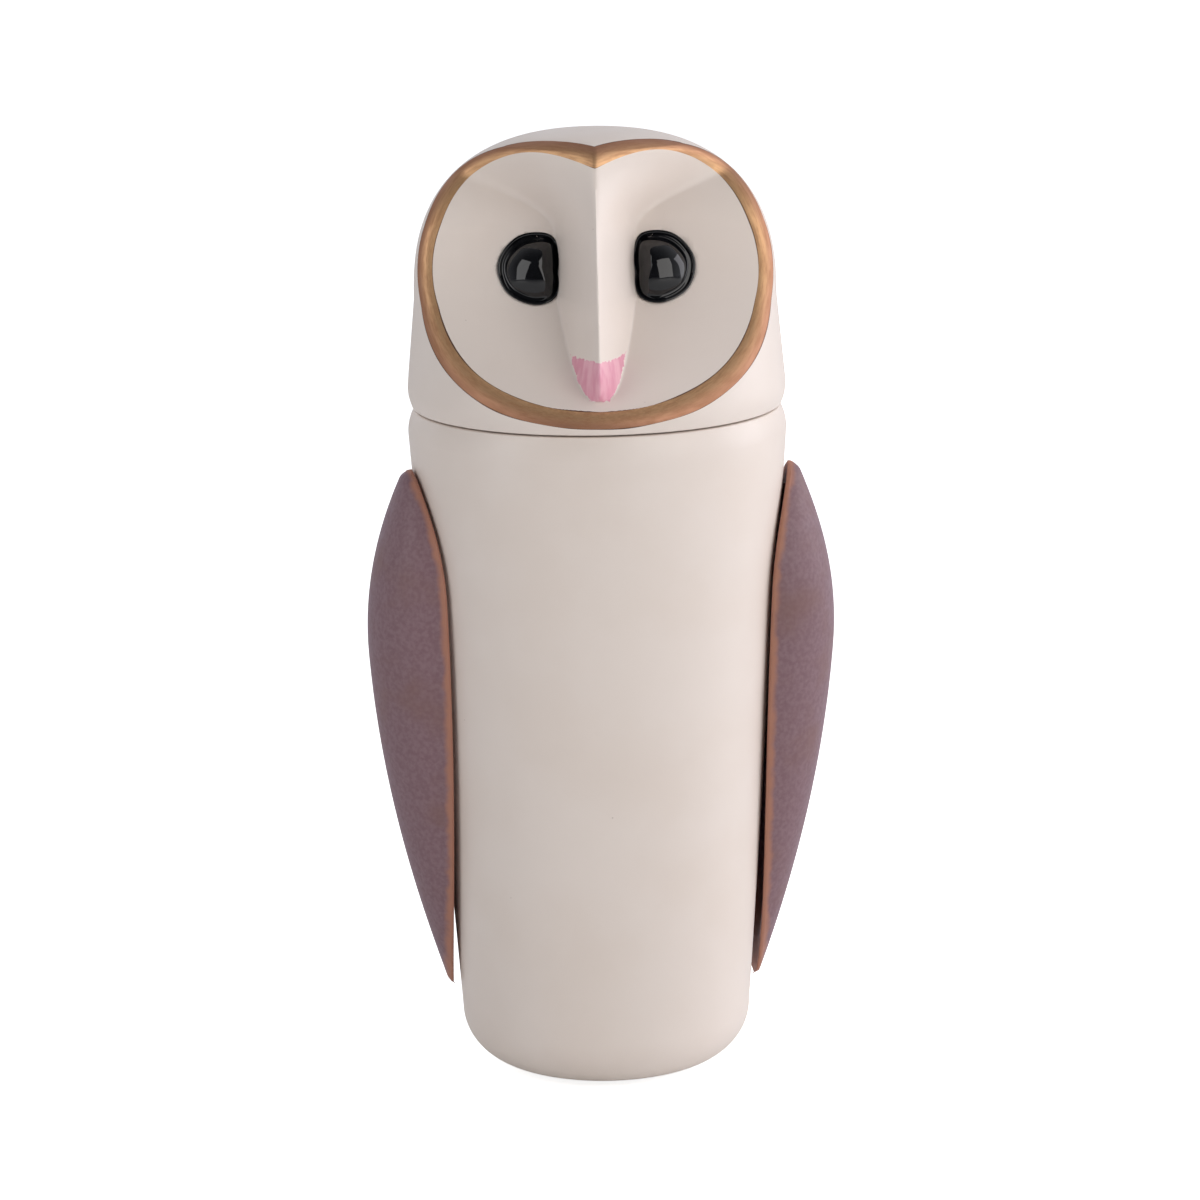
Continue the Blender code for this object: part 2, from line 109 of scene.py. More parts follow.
# %% Colour and node helpers
def linear(code):
    """Linear RGBA from an sRGB hex code."""
    parts = [int(code[i:i + 2], 16) / 255.0 for i in (1, 3, 5)]
    return tuple(v / 12.92 if v <= 0.04045 else ((v + 0.055) / 1.055) ** 2.4 for v in parts) + (1.0,)


def add_node(tree, kind, values=None, links=None, **settings):
    """Add a node. Settings are its options, values its inputs' constants, links what feeds its inputs."""
    made = tree.nodes.new(kind)
    for key, value in settings.items():
        setattr(made, key, value)
    for key, value in (values or {}).items():
        made.inputs[key].default_value = value
    for key, source in (links or {}).items():
        tree.links.new(source, made.inputs[key])
    return made


# %% Room light
def light_room():
    """A white room that is dim on the camera's side. The camera itself sees plain white."""
    world = bpy.data.worlds.new("white_room")
    bpy.context.scene.world = world
    world.use_nodes = True
    tree = world.node_tree
    tree.nodes.clear()
    place = add_node(tree, "ShaderNodeTexCoord")
    behind = add_node(tree, "ShaderNodeVectorMath", values={1: (0.33, 0.84, -0.46)},
                      links={0: place.outputs["Generated"]}, operation="DOT_PRODUCT")
    depth = add_node(tree, "ShaderNodeMapRange", links={0: behind.outputs["Value"]},
                     values={1: -0.9, 2: 0.5, 3: 0.08, 4: 0.85}, interpolation_type="SMOOTHSTEP")
    room = add_node(tree, "ShaderNodeBackground", links={"Strength": depth.outputs[0]},
                    values={"Color": linear("#F3F4FA")})
    seen = add_node(tree, "ShaderNodeBackground", values={"Color": linear("#FFFFFF"), "Strength": 1.0})
    path = add_node(tree, "ShaderNodeLightPath")
    both = add_node(tree, "ShaderNodeMixShader", links={0: path.outputs["Is Camera Ray"],
                                                        1: room.outputs[0], 2: seen.outputs[0]})
    add_node(tree, "ShaderNodeOutputWorld", links={0: both.outputs[0]})


BOX_FAR, BOX_HEIGHT = 1.5, 1.4      # metres


def soft_box(name, azimuth, elevation, width, watts, tint="#FFFFFF"):
    """A tall rectangular lamp that looks at the owl."""
    lamp = bpy.data.lights.new(name, "AREA")
    lamp.shape = "RECTANGLE"
    lamp.size, lamp.size_y = width, BOX_HEIGHT
    lamp.energy = watts
    lamp.color = linear(tint)[:3]
    aimed(bpy.data.objects.new(name, lamp), AIM + direction(azimuth, elevation) * BOX_FAR)


light_room()
soft_box("left_box", -62.0, 24.0, 0.75, 6.4)
soft_box("right_box", 34.0, 24.0, 1.05, 10.2, "#FFFCF9")
soft_box("side_box", 94.0, 15.0, 1.0, 10.0, "#FBF9FF")
print("lamps:", len(bpy.data.lights))


# %% Floor
def lay_floor():
    """White paper, lit a little from within for the camera only, so that it stays as white as the room."""
    bpy.ops.mesh.primitive_circle_add(vertices=96, radius=4.0, fill_type="NGON")
    floor = bpy.context.object
    floor.name = "floor"
    paper = bpy.data.materials.new("white_paper")
    paper.use_nodes = True
    shader = paper.node_tree.nodes["Principled BSDF"]
    shader.inputs["Base Color"].default_value = linear("#F4F4F3")
    shader.inputs["Roughness"].default_value = 0.9
    shader.inputs["Emission Color"].default_value = linear("#FFFFFF")
    seen = add_node(paper.node_tree, "ShaderNodeLightPath").outputs["Is Camera Ray"]
    glow = add_node(paper.node_tree, "ShaderNodeMath", links={0: seen}, values={1: 0.8}, operation="MULTIPLY")
    paper.node_tree.links.new(glow.outputs[0], shader.inputs["Emission Strength"])
    floor.data.materials.append(paper)


lay_floor()

# %% [markdown]
# ## Modelling helpers
#
# Most of this jar was thrown or cast round an axis. To make such a shape with plain modelling tools, a circle
# is added and then extruded and resized from ring to ring, the way a wall is pulled up on a wheel. A Screw
# modifier would be shorter, but the rings can be stopped, bevelled or joined to something else half way.


# %% Selecting and finishing
def only(piece):
    """Make one object the active and only selected one."""
    bpy.ops.object.select_all(action="DESELECT")
    piece.select_set(True)
    bpy.context.view_layer.objects.active = piece


def points_of(piece):
    """The mesh's points as an array of rows (x, y, z)."""
    flat = np.empty(len(piece.data.vertices) * 3)
    piece.data.vertices.foreach_get("co", flat)
    return flat.reshape(-1, 3)


def move_points(piece, points):
    piece.data.vertices.foreach_set("co", points.ravel())
    piece.data.update()


def select_points(piece, wanted):
    """In edit mode, select the points where the array is true."""
    bpy.ops.object.mode_set(mode="OBJECT")
    piece.data.edges.foreach_set("select", np.zeros(len(piece.data.edges), bool))
    piece.data.polygons.foreach_set("select", np.zeros(len(piece.data.polygons), bool))
    piece.data.vertices.foreach_set("select", wanted)
    bpy.ops.object.mode_set(mode="EDIT")
    bpy.context.tool_settings.mesh_select_mode = (True, False, False)
    bpy.ops.mesh.select_mode(type="VERT")


def settle(piece):
    """Write the object's place into its mesh, so that the object sits at the origin."""
    only(piece)
    bpy.ops.object.transform_apply(location=True, rotation=True, scale=True)


def finish_piece(piece, body, nodes, smooth=35.0):
    """Smooth the shading, ride on a body and stand for CAD nodes."""
    settle(piece)
    bpy.ops.object.shade_smooth_by_angle(angle=math.radians(smooth))
    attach(piece, body)
    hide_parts(*nodes)
    print(f"{piece.name}: {len(piece.data.polygons)} faces, rides on {body}")


# %% Pulling a ring along a profile
def pull_rings(profile):
    """From the selected ring at profile's first point, extrude and resize to each next (radius, height)."""
    for (old_r, old_z), (r, z) in zip(profile, profile[1:]):
        bpy.ops.mesh.extrude_region_move(TRANSFORM_OT_translate={"value": (0.0, 0.0, z - old_z)})
        bpy.ops.transform.resize(value=(r / old_r, r / old_r, 1.0))


def close_ring():
    """Close the selected ring with a fan of faces."""
    bpy.ops.mesh.extrude_region_move(TRANSFORM_OT_translate={"value": (0.0, 0.0, 0.0)})
    bpy.ops.mesh.merge(type="CENTER")


def pulled(name, profile, steps, closed=False):
    """A turned solid. A closed profile makes a ring, an open one gets both its ends closed."""
    bpy.ops.object.select_all(action="DESELECT")
    radius, height = profile[0]
    bpy.ops.mesh.primitive_circle_add(vertices=steps, radius=radius, location=(0.0, 0.0, height))
    piece = bpy.context.object
    piece.name = name
    bpy.ops.object.mode_set(mode="EDIT")
    bpy.ops.mesh.select_all(action="SELECT")
    pull_rings(profile + [profile[0]] if closed else profile)
    if not closed:
        close_ring()
        bpy.ops.object.mode_set(mode="OBJECT")
        select_points(piece, np.arange(len(piece.data.vertices)) < steps)
        close_ring()
    bpy.ops.mesh.select_all(action="SELECT")
    bpy.ops.mesh.remove_doubles(threshold=1e-6)
    bpy.ops.mesh.normals_make_consistent(inside=False)
    bpy.ops.object.mode_set(mode="OBJECT")
    settle(piece)
    return piece


def arc(centre, radius, start, end, steps):
    """Points of a circle between two angles in degrees, both ends included."""
    angles = np.radians(np.linspace(start, end, steps + 1))
    return [(centre[0] + radius * math.cos(a), centre[1] + radius * math.sin(a)) for a in angles]


def boolean(piece, cutter, operation="DIFFERENCE"):
    """Cut or join with another mesh, apply it and remove the cutter."""
    only(piece)
    step = piece.modifiers.new(operation.lower(), "BOOLEAN")
    step.operation = operation
    step.object = cutter
    step.solver = "EXACT"
    bpy.ops.object.modifier_apply(modifier=step.name)
    bpy.data.objects.remove(cutter, do_unlink=True)


def rod_x(centre_yz, radius, x_low, x_high, steps=40):
    """A plain rod along X, used as a cutter."""
    bpy.ops.object.select_all(action="DESELECT")
    bpy.ops.mesh.primitive_cylinder_add(vertices=steps, radius=radius, depth=x_high - x_low,
                                        location=((x_low + x_high) / 2.0, *centre_yz),
                                        rotation=(0.0, math.radians(90.0), 0.0))
    rod = bpy.context.object
    settle(rod)
    return rod


# %% [markdown]
# ## The body
#
# The body is slip-cast stoneware: a beaker that widens evenly upwards, with a well rounded foot and a wall of
# 4.5 mm. Its mouth is drawn in a little, and the glaze rounds the rim. The outside, the rim and the inside are
# one unbroken profile, so the wall gets its thickness without a modifier.

# %% Body sizes
body_low, body_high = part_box("body_vessel")
FOOT_Z, RIM_Z = body_low.z, body_high.z
FOOT_R = 22.7 * MM
FOOT_CORNER = 14.5 * MM
WAIST_R = 38.3 * MM
WAIST_Z = 18.0 * MM
TAPER = 0.0711
WALL = 4.5 * MM
EDGE_DROP = 6.2 * MM
EDGE_IN = 1.7 * MM
EDGE_ROUND = 0.6 * MM
BUSH_HOLE_R, HOLE_REACH = 4.9 * MM, 8.0 * MM
INSIDE_CORNER = FOOT_CORNER - WALL
INSIDE_Z = FOOT_Z + WALL + 1.5 * MM
EDGE_CURVE = (EDGE_DROP ** 2 + EDGE_IN ** 2) / (2.0 * EDGE_IN)


def body_radius(z):
    return WAIST_R + TAPER * (z - WAIST_Z)


def drawn_in(distance):
    """How far a softened edge draws in, this far along it."""
    return EDGE_CURVE - np.sqrt(EDGE_CURVE ** 2 - np.clip(distance, 0.0, EDGE_DROP) ** 2)


# %% Body
def body_profile():
    side_z = RIM_Z - EDGE_DROP
    corner_z = FOOT_Z + FOOT_CORNER
    wide = body_radius(corner_z) - FOOT_R
    points = [(FOOT_R + wide * math.cos(a), corner_z + FOOT_CORNER * math.sin(a))
              for a in np.radians(np.linspace(-90.0, 0.0, 25))]
    points += [(body_radius(z), z) for z in np.linspace(corner_z, side_z, 9)[1:]]
    top_z = RIM_Z - EDGE_ROUND
    points += [(body_radius(side_z) - float(drawn_in(z - side_z)), z)
               for z in np.linspace(side_z, top_z, 9)[1:]]
    points += arc((points[-1][0] - EDGE_ROUND, top_z), EDGE_ROUND, 0.0, 90.0, 5)[1:]
    mouth_r = body_radius(side_z) - WALL
    points += arc((mouth_r + EDGE_ROUND, top_z), EDGE_ROUND, 90.0, 180.0, 5)
    points.append((mouth_r, side_z))
    inside_r = body_radius(INSIDE_Z + INSIDE_CORNER) - WALL
    points += arc((inside_r - INSIDE_CORNER, INSIDE_Z + INSIDE_CORNER), INSIDE_CORNER, 0.0, -90.0, 12)
    return points


def make_body():
    body = pulled("stoneware_body", body_profile(), 192)
    for node in ("left_grommet_upper", "left_grommet_lower", "right_grommet_upper", "right_grommet_lower"):
        low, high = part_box(node)
        middle = (low + high) / 2.0
        hole = rod_x((middle.y, middle.z), BUSH_HOLE_R, middle.x - HOLE_REACH, middle.x + HOLE_REACH)
        boolean(body, hole)
    return body


stoneware_body = make_body()
print("body:", len(stoneware_body.data.vertices), "points")

# %% [markdown]
# ## The head
#
# The head is the lid: a squarish dome whose front is scooped away to a curved heart-shaped face, with a sharp
# nose ridge and a fat rounded lip all round. Booleans would leave a ragged edge where face and dome meet, and
# the lip has to be an even roll. So the shape is written as two distances, one to the dome and one to the
# face, blended with a round of 3 mm. A sphere's points are then pushed out along rays until they meet it. The
# sphere's pole lies on the nose, and two of its rings are laid exactly on the edges of the gold band.

# %% Head sizes
head_low, head_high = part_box("head_lid")
HEAD_TOP_Z, PLUG_Z = head_high.z, head_low.z
SEAM_GAP = 0.5 * MM
HEAD_BASE_Z = RIM_Z + SEAM_GAP
HEAD_SIDE_Z = HEAD_BASE_Z + EDGE_DROP
HEAD_TURN = math.radians(-6.0)
BROW_Z, BROW_R, NECK_R = 206.0 * MM, 46.9 * MM, 49.0 * MM
DOME_POWER = 2.5
HEAD_WALL = 5.0 * MM
PLUG_R, PLUG_INNER_R, PLUG_EDGE = 41.2 * MM, 36.2 * MM, 0.8 * MM
GROOVE_TOP_Z, GROOVE_LOW_Z, GROOVE_DEPTH = 173.0 * MM, 168.6 * MM, 1.6 * MM
HOLLOW_Z = 181.0 * MM
FACE_Y = -8.0 * MM
SCOOP_Z, SCOOP_H, SCOOP_D, BROW_LEAN = 225.0 * MM, 43.5 * MM, 41.0 * MM, 19.6 * MM
NOSE_TOP_Y, NOSE_TOP_Z = -21.8 * MM, 247.0 * MM
NOSE_LOW_Y, NOSE_LOW_Z = -47.3 * MM, 190.0 * MM
BEAK_Z, BEAK_ROUND_Z, BEAK_PAINT_Z = 185.4 * MM, 194.0 * MM, 195.4 * MM
NOSE_HALF, NOSE_HALF_Z, BROW_SPREAD = 9.9 * MM, 208.0 * MM, 45.8 * MM
NOSE_BLUNT, NOSE_WIDEST = 0.35, 44.0 * MM
NOSE_BULGE = 0.9
FOOT_SOFT, BROW_SOFT = 0.05, 0.55       # how softly the nose meets the face low down, and how much more above
BROW_SOFT_Z, BROW_SOFT_H = 222.0 * MM, 14.0 * MM
CREST_ROUND = 0.5 * MM
LIP_ROUND = 3.0 * MM
EYE_X = {-1.0: 15.4 * MM, 1.0: 15.9 * MM}
EYE_Z, EYE_R = 214.3 * MM, 9.4 * MM
EYE_FLAT = 5.8 * MM             # from the eye's middle to its straight side along the nose
EYE_CORNER = 7.0                # how sharp the two corners of that side are
EYE_DOME, EYE_SEAT = 4.9 * MM, 1.2 * MM
EYE_SPLAY = math.radians(7.7)   # the domes look a little outwards
EYE_SLOPE = 2.0 * SCOOP_D * (SCOOP_Z - EYE_Z) / SCOOP_H ** 2
EYE_LEAN = math.atan(EYE_SLOPE)


def smooth_step(share):
    share = np.clip(share, 0.0, 1.0)
    return share * share * (3.0 - 2.0 * share)


# %% Face surface
def floor_y(z):
    """The face's wall curves forwards below the eyes and leans back above them."""
    low = np.maximum(SCOOP_Z - z, 0.0) / SCOOP_H
    high = np.maximum(z - SCOOP_Z, 0.0) / (HEAD_TOP_Z - SCOOP_Z)
    return FACE_Y - SCOOP_D * low ** 2 + BROW_LEAN * high ** 1.5


def nose_height(z):
    crest = NOSE_LOW_Y + (NOSE_TOP_Y - NOSE_LOW_Y) * (z - NOSE_LOW_Z) / (NOSE_TOP_Z - NOSE_LOW_Z)
    along = np.clip((BEAK_ROUND_Z - z) / (BEAK_ROUND_Z - BEAK_Z), 0.0, 1.0)
    return np.maximum((floor_y(z) - crest) * np.sqrt(1.0 - along ** 2), 0.0)


def nose_half(z):
    low = NOSE_HALF * np.clip((z - BEAK_Z) / (NOSE_HALF_Z - BEAK_Z), 0.02, 1.0) ** NOSE_BLUNT
    spread = np.clip((z - SCOOP_Z) / (HEAD_TOP_Z - SCOOP_Z), 0.0, 2.0)
    return np.minimum(low + BROW_SPREAD * spread ** 2, NOSE_WIDEST)


def nose(x, z):
    """The foot of the nose is crisp low down and melts into the face at the level of the brows."""
    left = 1.0 - np.sqrt(x ** 2 + CREST_ROUND ** 2) / nose_half(z)
    soft = FOOT_SOFT + BROW_SOFT * smooth_step((z - BROW_SOFT_Z) / BROW_SOFT_H)
    melted = np.maximum(left + soft, 0.0) ** 2 / (4.0 * soft)
    return nose_height(z) * np.where(left > soft, left, melted) ** NOSE_BULGE


def eye_outline(angle):
    """Radius of an eye's edge. Angle 0 points away from the nose. The hand-cut edge is a little uneven."""
    toward_nose = np.maximum(-np.cos(angle), 1e-3)
    edge = (EYE_R ** -EYE_CORNER + (EYE_FLAT / toward_nose) ** -EYE_CORNER) ** (-1.0 / EYE_CORNER)
    return edge + (0.10 * np.sin(3.0 * angle + 0.8) + 0.06 * np.sin(7.0 * angle)) * MM


def eye_inside(x, z):
    """How far a point of the face is inside an eye's edge, negative outside it."""
    u = np.where(x < 0.0, -x - EYE_X[-1.0], x - EYE_X[1.0])
    v = (z - EYE_Z) / math.cos(EYE_LEAN)
    return eye_outline(np.arctan2(v, u)) - np.hypot(u, v)


def face_y(x, z):
    seat = EYE_SEAT * smooth_step((eye_inside(x, z) - 0.3 * MM) / (0.4 * MM))
    return floor_y(z) - nose(x, z) + seat


# %% Dome and lip as distances
BELOW_BROW_Z, BELOW_BROW_H = 235.0 * MM, 15.0 * MM      # under this the nose hides the dome's own front


def dome_gap(x, y, z):
    """Distance outside the dome, negative inside it."""
    reach = np.hypot(x, y)
    neck = NECK_R + (BROW_R - NECK_R) * (z - HEAD_SIDE_Z) / (BROW_Z - HEAD_SIDE_Z)
    neck = neck - drawn_in(HEAD_SIDE_Z - z)
    out = np.maximum(reach / BROW_R, 1e-6)
    rise = np.maximum(z - BROW_Z, 0.0) / (HEAD_TOP_Z - BROW_Z)
    size = (out ** DOME_POWER + rise ** DOME_POWER) ** (1.0 / DOME_POWER)
    steep = np.hypot((out / size) ** (DOME_POWER - 1.0) / BROW_R,
                     (rise / size) ** (DOME_POWER - 1.0) / (HEAD_TOP_Z - BROW_Z))
    return np.where(z > BROW_Z, (size - 1.0) / steep, reach - neck)


def face_gap(x, y, z):
    """Distance in front of the face, negative behind it."""
    step = 0.05 * MM
    here = floor_y(z) - nose(x, z)
    side = (floor_y(z) - nose(np.abs(x) + step, z) - here) / step
    up = (floor_y(z + step) - nose(x, z + step) - here) / step
    return (face_y(x, z) - y) / np.sqrt(1.0 + side ** 2 + up ** 2)


def head_gap(x, y, z):
    """Dome and face joined by a rolled lip."""
    a, b = dome_gap(x, y, z), face_gap(x, y, z)
    rolled = np.hypot(np.maximum(a + LIP_ROUND, 0.0), np.maximum(b + LIP_ROUND, 0.0))
    return np.minimum(np.maximum(a, b), -LIP_ROUND) + rolled


def across_lip(x, y, z):
    """Distance across the lip from its crown, about 0 on it: negative on the face, positive on the dome."""
    behind_nose = np.maximum(y, floor_y(z))
    low = smooth_step((BELOW_BROW_Z - z) / BELOW_BROW_H)
    depth = low * dome_gap(x, behind_nose, z) + (1.0 - low) * dome_gap(x, y, z)
    return depth - np.minimum(face_gap(x, y, z), 0.0)


# %% Rays from inside the head
HEART = np.array([0.0, 6.0 * MM, 204.0 * MM])      # every point of the head's skin can be seen from here


def ray(polar, around):
    """Directions from the nose (polar 0) to the back of the head (polar 180 degrees)."""
    return np.stack([np.sin(polar) * np.cos(around), -np.cos(polar) + 0.0 * around,
                     np.sin(polar) * np.sin(around)], axis=-1)


def skin(polar, around):
    """Points of the head's skin along rays, found by halving."""
    way = ray(polar, around)
    near = np.full(way.shape[:-1], 1.0 * MM)
    far = np.full(way.shape[:-1], 95.0 * MM)
    for _ in range(34):
        middle = (near + far) / 2.0
        at = HEART + way * middle[..., None]
        inside = head_gap(at[..., 0], at[..., 1], at[..., 2]) < 0.0
        near, far = np.where(inside, middle, near), np.where(inside, far, middle)
    return HEART + way * near[..., None]


# %% Where the gold band runs
BAND_IN, BAND_OUT = 3.6 * MM, 2.0 * MM
BAND_THIN, BROW_ANGLE, BROW_SPAN = 2.0 * MM, 24.0, 14.0      # it narrows as it crosses the two brows
SEGMENTS = 336
FACE_RINGS, BAND_RINGS, BACK_RINGS = 84, 22, 72
segment_angles = np.arange(SEGMENTS) * 2.0 * math.pi / SEGMENTS


def first_crossing(polar, values, level):
    """For each segment, the polar angle at which values first rise past a level."""
    late = np.argmax(values > level[None, :], axis=0)
    column = np.arange(values.shape[1])
    low, high = values[late - 1, column], values[late, column]
    share = (level - low) / (high - low)
    return polar[late - 1] + share * (polar[late] - polar[late - 1])


def band_edges():
    """Polar angles of the band's two edges, with the slight waver of a brush."""
    polar = np.radians(np.linspace(2.0, 120.0, 360))
    at = skin(polar[:, None] + 0.0 * segment_angles[None, :], segment_angles[None, :] + 0.0 * polar[:, None])
    across = across_lip(at[..., 0], at[..., 1], at[..., 2])
    waver = (0.10 * np.sin(5.0 * segment_angles + 1.0) + 0.07 * np.sin(11.0 * segment_angles)) * MM
    over_brow = (np.abs(np.degrees(segment_angles) - 90.0) - BROW_ANGLE) / BROW_SPAN
    thin = BAND_THIN * np.exp(-over_brow ** 2)
    inner = first_crossing(polar, across, waver + thin - BAND_IN)
    outer = first_crossing(polar, across, BAND_OUT + waver[::-1])
    return inner, outer


band_inner, band_outer = band_edges()
print("band seen from inside the head, degrees:", round(math.degrees(band_inner.min()), 1),
      "to", round(math.degrees(band_outer.max()), 1))


# %% Head skin
def ring_angles():
    """Polar angle of every ring and segment: face, then band, then the rest of the dome."""
    share = [np.linspace(0.0, 1.0, n + 1)[:, None] for n in (FACE_RINGS, BAND_RINGS, BACK_RINGS)]
    face = band_inner[None, :] * share[0]
    band = band_inner + (band_outer - band_inner) * share[1]
    back = band_outer + (math.pi - band_outer) * share[2]
    return np.concatenate([face, band[1:], back[1:]])


def head_skin():
    rings = FACE_RINGS + BAND_RINGS + BACK_RINGS
    bpy.ops.object.select_all(action="DESELECT")
    bpy.ops.mesh.primitive_uv_sphere_add(segments=SEGMENTS, ring_count=rings, radius=1.0)
    head = bpy.context.object
    head.name = "stoneware_head"
    ball = points_of(head)
    ring = np.rint(np.arccos(np.clip(ball[:, 2], -1.0, 1.0)) / math.pi * rings).astype(int)
    segment = np.rint(np.arctan2(ball[:, 1], ball[:, 0]) / (2.0 * math.pi) * SEGMENTS).astype(int) % SEGMENTS
    polar = ring_angles()[ring, segment]
    at = skin(polar, segment_angles[segment])
    move_points(head, at)
    for face in head.data.polygons:
        middle = sum(ring[i] for i in face.vertices) / len(face.vertices)
        face.material_index = int(FACE_RINGS < middle < FACE_RINGS + BAND_RINGS)
    return head


def paint_guides(head):
    """Store how far each point is across the lip and inside the beak's paint, and where it is on the stroke."""
    at = points_of(head)
    x, y, z = at.T
    across = across_lip(x, y, z)
    on_nose = np.minimum(0.95 * nose_half(z) - np.abs(x), floor_y(z) + 2.0 * MM - y)
    top_edge = BEAK_PAINT_Z + 0.3 * MM * np.cos(x / (1.5 * MM) + 0.6) - z
    beak = np.minimum(np.minimum(on_nose, top_edge), z - BEAK_Z)
    around = np.arctan2(z - HEART[2], x)
    stroke = np.stack([np.cos(around), np.sin(around), across / (8.0 * MM)], axis=-1)
    for name, values in (("across_lip", across / MM), ("beak", beak / MM)):
        guide = head.data.attributes.new(name, "FLOAT", "POINT")
        guide.data.foreach_set("value", values.astype(np.float32))
    guide = head.data.attributes.new("stroke", "FLOAT_VECTOR", "POINT")
    guide.data.foreach_set("vector", stroke.astype(np.float32).ravel())


stoneware_head = head_skin()
print("head skin:", len(stoneware_head.data.vertices), "points")

# %% [markdown]
# The skin is now cut flat just above the joint with the body. The open circle that this leaves is extruded on
# downwards and back up inside, ring by ring: the soft lower edge, the plug that drops into the mouth, the
# groove for its silicone ring, and the hollow.


# %% Plug and hollow
def plug_profile(start_r, start_z):
    low_z = start_z - EDGE_ROUND
    groove_r = PLUG_R - GROOVE_DEPTH
    points = arc((start_r - EDGE_ROUND, start_z), EDGE_ROUND, 0.0, -90.0, 5)
    points += [(PLUG_R + PLUG_EDGE, low_z)]
    points += arc((PLUG_R + PLUG_EDGE, low_z - PLUG_EDGE), PLUG_EDGE, 90.0, 180.0, 4)[1:]
    points += [(PLUG_R, GROOVE_TOP_Z), (groove_r, GROOVE_TOP_Z)]
    points += [(groove_r, GROOVE_LOW_Z), (PLUG_R, GROOVE_LOW_Z)]
    points += arc((PLUG_R - 1.0 * MM, PLUG_Z + 1.0 * MM), 1.0 * MM, 0.0, -90.0, 5)
    points += arc((PLUG_INNER_R + PLUG_EDGE, PLUG_Z + PLUG_EDGE), PLUG_EDGE, -90.0, -180.0, 4)
    points += [(PLUG_INNER_R, HOLLOW_Z), (NECK_R - 1.3 * HEAD_WALL, HOLLOW_Z + 7.0 * MM)]
    for a in np.radians(np.linspace(90.0, 2.0, 30)):
        out = (BROW_R - HEAD_WALL) * math.sin(a) ** (2.0 / DOME_POWER)
        rise = (HEAD_TOP_Z - BROW_Z - HEAD_WALL) * math.cos(a) ** (2.0 / DOME_POWER)
        points.append((out, BROW_Z + rise))
    return points


def add_plug(head):
    cut_z = HEAD_BASE_Z + EDGE_ROUND
    only(head)
    bpy.ops.object.mode_set(mode="EDIT")
    bpy.ops.mesh.select_all(action="SELECT")
    bpy.ops.mesh.bisect(plane_co=(0.0, 0.0, cut_z), plane_no=(0.0, 0.0, 1.0), clear_inner=True,
                        threshold=1e-7)
    bpy.ops.object.mode_set(mode="OBJECT")
    at = points_of(head)
    cut_r = float(np.hypot(at[:, 0], at[:, 1])[np.abs(at[:, 2] - cut_z) < 1e-6].mean())
    skin_count = len(at)
    select_points(head, np.abs(at[:, 2] - cut_z) < 1e-6)
    pull_rings(plug_profile(cut_r, cut_z))
    close_ring()
    bpy.ops.mesh.select_all(action="SELECT")
    bpy.ops.mesh.remove_doubles(threshold=1e-6)
    bpy.ops.object.mode_set(mode="OBJECT")
    at = points_of(head)
    inside = (np.arange(len(at)) >= skin_count) & (at[:, 2] > HOLLOW_Z + 1.0 * MM)
    at[inside, 1] = np.maximum(at[inside, 1], floor_y(at[inside, 2]) + HEAD_WALL)
    move_points(head, at)


def turn_head(piece):
    """Turn a piece of the head by the few degrees that the lid stands round on the body."""
    c, s = math.cos(HEAD_TURN), math.sin(HEAD_TURN)
    at = points_of(piece)
    move_points(piece, at @ np.array([[c, s, 0.0], [-s, c, 0.0], [0.0, 0.0, 1.0]]))


add_plug(stoneware_head)
paint_guides(stoneware_head)
turn_head(stoneware_head)
print("head with plug:", len(stoneware_head.data.polygons), "faces")

# %% [markdown]
# ## Eyes
#
# Each eye is a glossy black dome set in a shallow socket, with a thin bead of black glaze run round its edge.
# It is pulled up as a round button first. Its rings are then stretched to the eye's outline, straight along
# the nose, and laid on the curve of the face.


# %% Eye
def eye_profile():
    bead = [(1.0, -0.95), (1.0, -0.1), (1.025, 0.1), (1.03, 0.3), (1.015, 0.48), (0.99, 0.55), (0.965, 0.5),
            (0.945, 0.36), (0.93, 0.16)]
    points = [(EYE_R * share, height * MM) for share, height in bead]
    base_r, foot = EYE_R * 0.915, 0.1 * MM
    rise = EYE_DOME - foot
    ball = (base_r ** 2 + rise ** 2) / (2.0 * rise)
    widest = math.asin(base_r / ball)
    for a in np.linspace(widest, 0.01, 34):
        points.append((ball * math.sin(a), foot + ball * math.cos(a) - (ball - rise)))
    return points


def make_eye(name, side):
    eye = pulled(name, eye_profile(), 128)
    x, y, h = points_of(eye).T
    angle = np.arctan2(y, x)
    share = np.hypot(x, y) / EYE_R
    u = share * eye_outline(angle) * np.cos(angle)
    v = share * eye_outline(angle) * np.sin(angle)
    z = EYE_Z + v * math.cos(EYE_LEAN)
    middle_y = float(floor_y(np.array(EYE_Z)))
    face = floor_y(z) - nose(EYE_X[side] + u, z)
    lift = (middle_y + EYE_SLOPE * (z - EYE_Z) - face) * math.cos(EYE_LEAN)
    h = h + lift * smooth_step((share - 0.80) / 0.14)
    h = h - u * math.tan(EYE_SPLAY) * smooth_step((0.94 - share) / 0.14)
    place_y = middle_y + v * math.sin(EYE_LEAN) - h * math.cos(EYE_LEAN)
    move_points(eye, np.stack([side * (EYE_X[side] + u), place_y, z + h * math.sin(EYE_LEAN)], axis=-1))
    only(eye)
    bpy.ops.object.mode_set(mode="EDIT")
    bpy.ops.mesh.select_all(action="SELECT")
    bpy.ops.mesh.normals_make_consistent(inside=False)
    bpy.ops.object.mode_set(mode="OBJECT")
    turn_head(eye)
    return eye


eyes = {name: make_eye(f"{name}_eye_dome", side) for name, side in (("left", -1.0), ("right", 1.0))}
print("eyes:", list(eyes))

